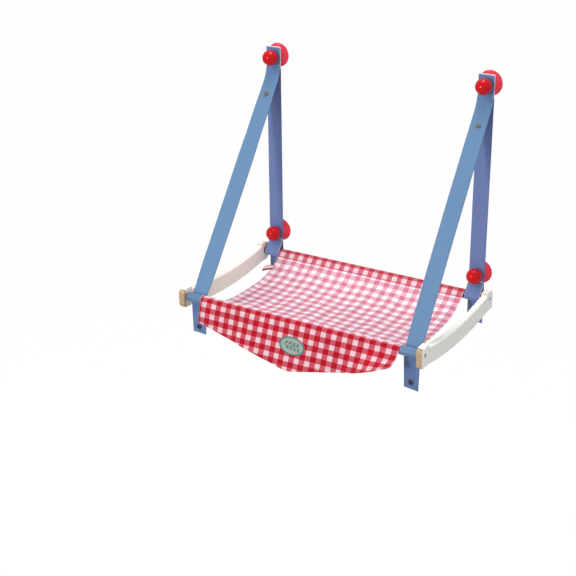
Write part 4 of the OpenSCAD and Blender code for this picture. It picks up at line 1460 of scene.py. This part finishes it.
class CATPERCH_OT_screws(bpy.types.Operator):
    """Make the four screws that fix the rails in the arms: a dome with a cross slot, and a shank"""

    bl_idname = "catperch.screws"
    bl_label = "Screws"

    def execute(self, context):
        colours = context.scene.perch_colours
        r, rise, sunk, columns = 0.0040, 0.0009, 0.0018, 64
        slot_half, slot_reach, slot_deep = 0.00062, 0.0021, 0.0010
        head_x = ARM_X + context.scene.perch_arm.thick / 2 - sunk
        radius = np.array([0.0, 0.18, 0.32, 0.42, 0.5, 0.62, 0.78, 0.9, 0.97, 1.0]) * r
        dome = rise * (1 - (radius / r) ** 2)
        turn = np.arange(columns) * 2 * np.pi / columns
        px, pz = radius[:, None] * np.cos(turn), radius[:, None] * np.sin(turn)
        slot_a = (np.abs(px) < slot_half) & (np.abs(pz) < slot_reach)
        slot_b = (np.abs(pz) < slot_half) & (np.abs(px) < slot_reach)
        top = dome[:, None] - np.where(slot_a | slot_b, slot_deep, 0.0)
        skirt = np.array([[1.0, -0.0007], [0.5, -0.0030], [0.48, -0.012], [0.0, -0.014]])
        stack = []
        for sign in (-1.0, 1.0):
            for y_at in (FRONT[1], REAR[1]):
                head = np.stack([sign * (head_x + top), y_at + px, FRONT[2] + pz], -1)
                body = [np.stack([np.full(columns, sign * (head_x + d)), y_at + k * r * np.cos(turn),
                                  FRONT[2] + k * r * np.sin(turn)], -1) for k, d in skirt]
                stack.append(np.concatenate([head, np.array(body)]))
        points = np.array(stack)
        piece = grid_object("arm_screws", points, np.zeros((points.shape[1], columns + 1, 2)), sharp=35)
        steel = metal_material("dark_screw_steel", colours.screw, 0.35, colours.screw_worn)
        finish_piece(piece, steel, "seat", ["rail_screws"])
        return {"FINISHED"}


# Plastic and metal

class CATPERCH_OT_cups(bpy.types.Operator):
    """Make the four suction cups: a hollow, a flared wall and a neck, turned round an axis"""

    bl_idname = "catperch.cups"
    bl_label = "Suction cups"

    def execute(self, context):
        colours = context.scene.perch_colours
        red = plastic_material("cup_vinyl", colours.cup, 0.16, through=0.55)
        outer = smooth_line([(28.0, 0.25), (28.0, 0.9), (27.2, 1.7), (25.8, 2.6), (21.8, 5.6), (16.8, 9.0),
                             (13.0, 11.9), (11.2, 14.2), (10.8, 16.0), (11.3, 18.2), (11.3, 19.4)], 8)
        neck = np.array([(11.0, 19.9), (9.0, 20.0), (6.0, 20.0), (3.0, 20.0), (0.0, 20.0)])
        hollow = smooth_line([(0.0, 6.5), (5.0, 6.4), (14.0, 5.5), (21.8, 2.4), (25.0, 0.55),
                              (25.6, 0.03)], 8)
        profile = np.concatenate([hollow, [(27.0, 0.0), (27.7, 0.0)], outer, neck]) * MM
        for corner in CORNERS:
            node = f"suction_cup_{corner}"
            piece = turned_object(f"vinyl_cup_{corner}", profile, middle(node) * (1, 0, 1))
            finish_piece(piece, red, "window_mount", [node])
        steel = metal_material("stud_steel_plate", colours.stud, 0.3, colours.stud_worn)
        for corner in CORNERS:
            paint_node(f"cup_stud_{corner}", steel)
        return {"FINISHED"}


class CATPERCH_OT_knobs(bpy.types.Operator):
    """Make the four ball knobs: a ball cut flat at its foot, with a bore, turned round an axis"""

    bl_idname = "catperch.knobs"
    bl_label = "Knobs"

    def execute(self, context):
        red = plastic_material("knob_plastic", context.scene.perch_colours.knob, 0.14)
        bore, deep, chamfer, foot_round, foot_turn = 0.00305, 0.0186, 0.0004, 0.0006, 0.05
        for corner in CORNERS:
            node = f"knob_{corner}"
            low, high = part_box(node)
            r = (high[0] - low[0]) / 2
            back, front = high[1], low[1]
            stand = (back - front) - r
            flat = math.sqrt(r ** 2 - stand ** 2)
            arc = np.linspace(math.atan2(-stand, flat) + foot_turn, np.pi / 2, 60)
            ball = np.stack([r * np.cos(arc), stand + r * np.sin(arc)], -1)
            ball[-1, 0] = 0.0
            foot = np.array([(bore, chamfer), (bore + chamfer, 0.0), (flat * 0.6, 0.0),
                             (flat - foot_round, 0.0)])
            hole = np.array([(0.0, deep), (bore * 0.6, deep), (bore, deep), (bore, deep * 0.5)])
            at = np.array([(low[0] + high[0]) / 2, back, (low[2] + high[2]) / 2])
            piece = turned_object(f"ball_knob_{corner}", np.concatenate([hole, foot, ball]), at)
            finish_piece(piece, red, node, [node])
        return {"FINISHED"}


class CATPERCH_OT_snaps(bpy.types.Operator):
    """Make the snap halves on the tails and on the slanted straps

    Each is a profile turned round an axis that stands on the webbing, with its cap behind.
    """

    bl_idname = "catperch.snaps"
    bl_label = "Snaps"

    def execute(self, context):
        straps = context.scene.perch_straps
        colours = context.scene.perch_colours
        bright = metal_material("bright_snap", colours.post, 0.45, colours.post_worn)
        dark = metal_material("dark_snap", colours.ring, 0.34, colours.ring_worn)
        line, _, bend_at, slant = front_line(straps)
        total = run_of(line)[-1]
        top = bend_at + slant
        t = STRAP_T / 2 / MM
        stud = [[(0.0, t + 3.5)],
                smooth_line([(1.9, t + 3.5), (2.7, t + 3.0), (2.6, t + 2.3), (2.2, t + 1.7),
                             (2.3, t + 1.15)], 5),
                smooth_line([(3.4, t + 0.95), (5.2, t + 0.95), (6.0, t + 0.7), (6.3, t + 0.1)], 5)]
        socket = [[(0.0, t + 0.95), (2.6, t + 0.95), (2.75, t + 1.2)],
                  smooth_line([(2.9, t + 2.6), (3.1, t + 3.2), (3.9, t + 3.4), (4.9, t + 3.2), (5.2, t + 2.2),
                               (5.35, t + 1.5), (6.0, t + 1.15), (6.3, t + 0.7), (6.3, t + 0.1)], 5)]
        cap = smooth_line([(6.3, -t - 0.1), (6.1, -t - 0.55), (5.0, -t - 0.85), (2.5, -t - 0.9)], 5)
        rest = [[(1.35, t + 0.05), (1.35, -t - 0.05)], cap, [(0.0, -t - 0.9)]]
        tail_at = total - (straps.tail - straps.snap_on_tail)
        for side, sign in SIDES:
            twist = strap_turn(straps, side, bend_at, top, total)
            lean = strap_shift(straps, side, bend_at, top)
            for name, parts, place, material, body, node, finish in (
                    ("snap_post", stud, bend_at + straps.snap_on_strap, bright, f"upper_stretch_{side}",
                     f"snap_stud_{side}", "snap_bright"),
                    ("snap_ring", socket, tail_at, dark, f"tail_{side}", f"snap_socket_{side}",
                     "snap_dark")):
                centre, _, out = strap_frames(line, np.array([place]), twist)
                at = centre[0] + np.array([sign * STRAP_X + float(lean(place)), 0, 0])
                piece = turned_object(f"{name}_{side}", np.concatenate(parts + rest) * MM, at, out[0],
                                      steps=64, sharp=40)
                finish_piece(piece, material, body, [node])
        return {"FINISHED"}


class CATPERCH_OT_stage(bpy.types.Operator):
    """Set the floor, the light and the camera"""

    bl_idname = "catperch.stage"
    bl_label = "Stage"

    def execute(self, context):
        scene = context.scene
        scene.view_settings.view_transform = "Standard"
        size, drop, light_level, seen_level = 14.0, -1.25, 0.54, 1.0
        corner = np.array([[-size, -size], [size, -size], [size, size], [-size, size]])
        mesh = bpy.data.meshes.new("floor")
        mesh.from_pydata(np.column_stack([corner, np.full(4, drop)]), [], [(0, 1, 2, 3)])
        floor = bpy.data.objects.new("floor", mesh)
        scene.collection.objects.link(floor)
        mesh.materials.append(floor_material("pale_floor"))
        world = bpy.data.worlds.new("studio") if scene.world is None else scene.world
        scene.world = world
        world.use_nodes = True
        tree = world.node_tree
        tree.nodes.clear()
        path = tree.nodes.new("ShaderNodeLightPath")
        level = tree.nodes.new("ShaderNodeMath")
        level.operation = "MAXIMUM"
        tree.links.new(path.outputs["Is Camera Ray"], level.inputs[0])
        tree.links.new(path.outputs["Is Transmission Ray"], level.inputs[1])
        strength = tree.nodes.new("ShaderNodeMapRange")
        strength.inputs["To Min"].default_value = light_level
        strength.inputs["To Max"].default_value = seen_level
        tree.links.new(level.outputs[0], strength.inputs["Value"])
        back = tree.nodes.new("ShaderNodeBackground")
        back.inputs["Color"].default_value = (1.0, 1.0, 1.0, 1.0)
        tree.links.new(strength.outputs[0], back.inputs["Strength"])
        out = tree.nodes.new("ShaderNodeOutputWorld")
        tree.links.new(back.outputs[0], out.inputs["Surface"])
        aim = Vector((0.0, -0.18, -0.05))  # middle of the perch, to which the lamps turn
        for name, place, power, wide in (("key", (-1.7, -2.1, 2.4), 36.0, 1.1),
                                         ("fill", (2.9, -1.4, 1.4), 18.0, 2.0),
                                         ("top", (0.1, 0.1, 2.9), 44.0, 1.8),
                                         ("front", (-0.7, -3.1, 0.5), 32.0, 0.34)):
            lamp = bpy.data.lights.new(name, "AREA")
            lamp.energy, lamp.size = power, wide
            held = bpy.data.objects.new(name, lamp)
            held.visible_glossy = name in ("top", "front")
            scene.collection.objects.link(held)
            turn = (aim - Vector(place)).to_track_quat("-Z", "Y").to_matrix().to_4x4()
            held.matrix_world = Matrix.Translation(place) @ turn
        eye = Vector((1.3080, -2.4961, 0.9115))
        ahead = Vector((-0.48498, 0.77755, -0.40027)).normalized()
        right = ahead.cross(Vector((0, 0, 1))).normalized()
        up = right.cross(ahead)
        roll = math.radians(-0.70)
        right, up = (right * math.cos(roll) + up * math.sin(roll),
                     up * math.cos(roll) - right * math.sin(roll))
        lens = bpy.data.cameras.new("camera")
        lens.lens, lens.sensor_width, lens.sensor_height = 79.76, 36.0, 36.0
        lens.clip_start, lens.clip_end = 0.05, 60.0
        camera = bpy.data.objects.new("camera", lens)
        scene.collection.objects.link(camera)
        turn = Matrix((right, up, -ahead)).transposed().to_4x4()
        camera.matrix_world = Matrix.Translation(eye) @ turn
        scene.camera = camera
        return {"FINISHED"}


OPERATORS = (CATPERCH_OT_stage, CATPERCH_OT_sling, CATPERCH_OT_flap, CATPERCH_OT_patch, CATPERCH_OT_tag,
             CATPERCH_OT_rear_straps, CATPERCH_OT_front_straps, CATPERCH_OT_loops, CATPERCH_OT_arms,
             CATPERCH_OT_rails, CATPERCH_OT_screws, CATPERCH_OT_cups, CATPERCH_OT_knobs,
             CATPERCH_OT_snaps)
GROUPS = (("perch_cloth", PerchClothSizes), ("perch_straps", PerchStrapSizes),
          ("perch_arm", PerchArmSizes), ("perch_colours", PerchColours))


class CATPERCH_PT_panel(bpy.types.Panel):
    """Lists the perch's pieces and their sizes"""

    bl_idname = "CATPERCH_PT_panel"
    bl_label = "Cat perch"
    bl_space_type = "VIEW_3D"
    bl_region_type = "UI"
    bl_category = "Cat perch"

    def draw(self, context):
        for operator in OPERATORS:
            self.layout.operator(operator.bl_idname)
        for name, group in GROUPS:
            box = self.layout.box()
            box.label(text=group.__doc__)
            for key in group.__annotations__:
                box.prop(getattr(context.scene, name), key)


def register():
    """Adds the settings, the operators and the panel."""
    for name, group in GROUPS:
        bpy.utils.register_class(group)
        setattr(bpy.types.Scene, name, PointerProperty(type=group))
    for item in OPERATORS + (CATPERCH_PT_panel,):
        bpy.utils.register_class(item)


def unregister():
    """Takes them away again, last first."""
    for item in (CATPERCH_PT_panel,) + OPERATORS[::-1]:
        bpy.utils.unregister_class(item)
    for name, group in GROUPS[::-1]:
        delattr(bpy.types.Scene, name)
        bpy.utils.unregister_class(group)


def main():
    """Makes every piece in order."""
    register()
    for operator in OPERATORS:
        getattr(bpy.ops.catperch, operator.bl_idname.split(".")[1])()
    bpy.context.view_layer.update()


if __name__ == "__main__":
    main()
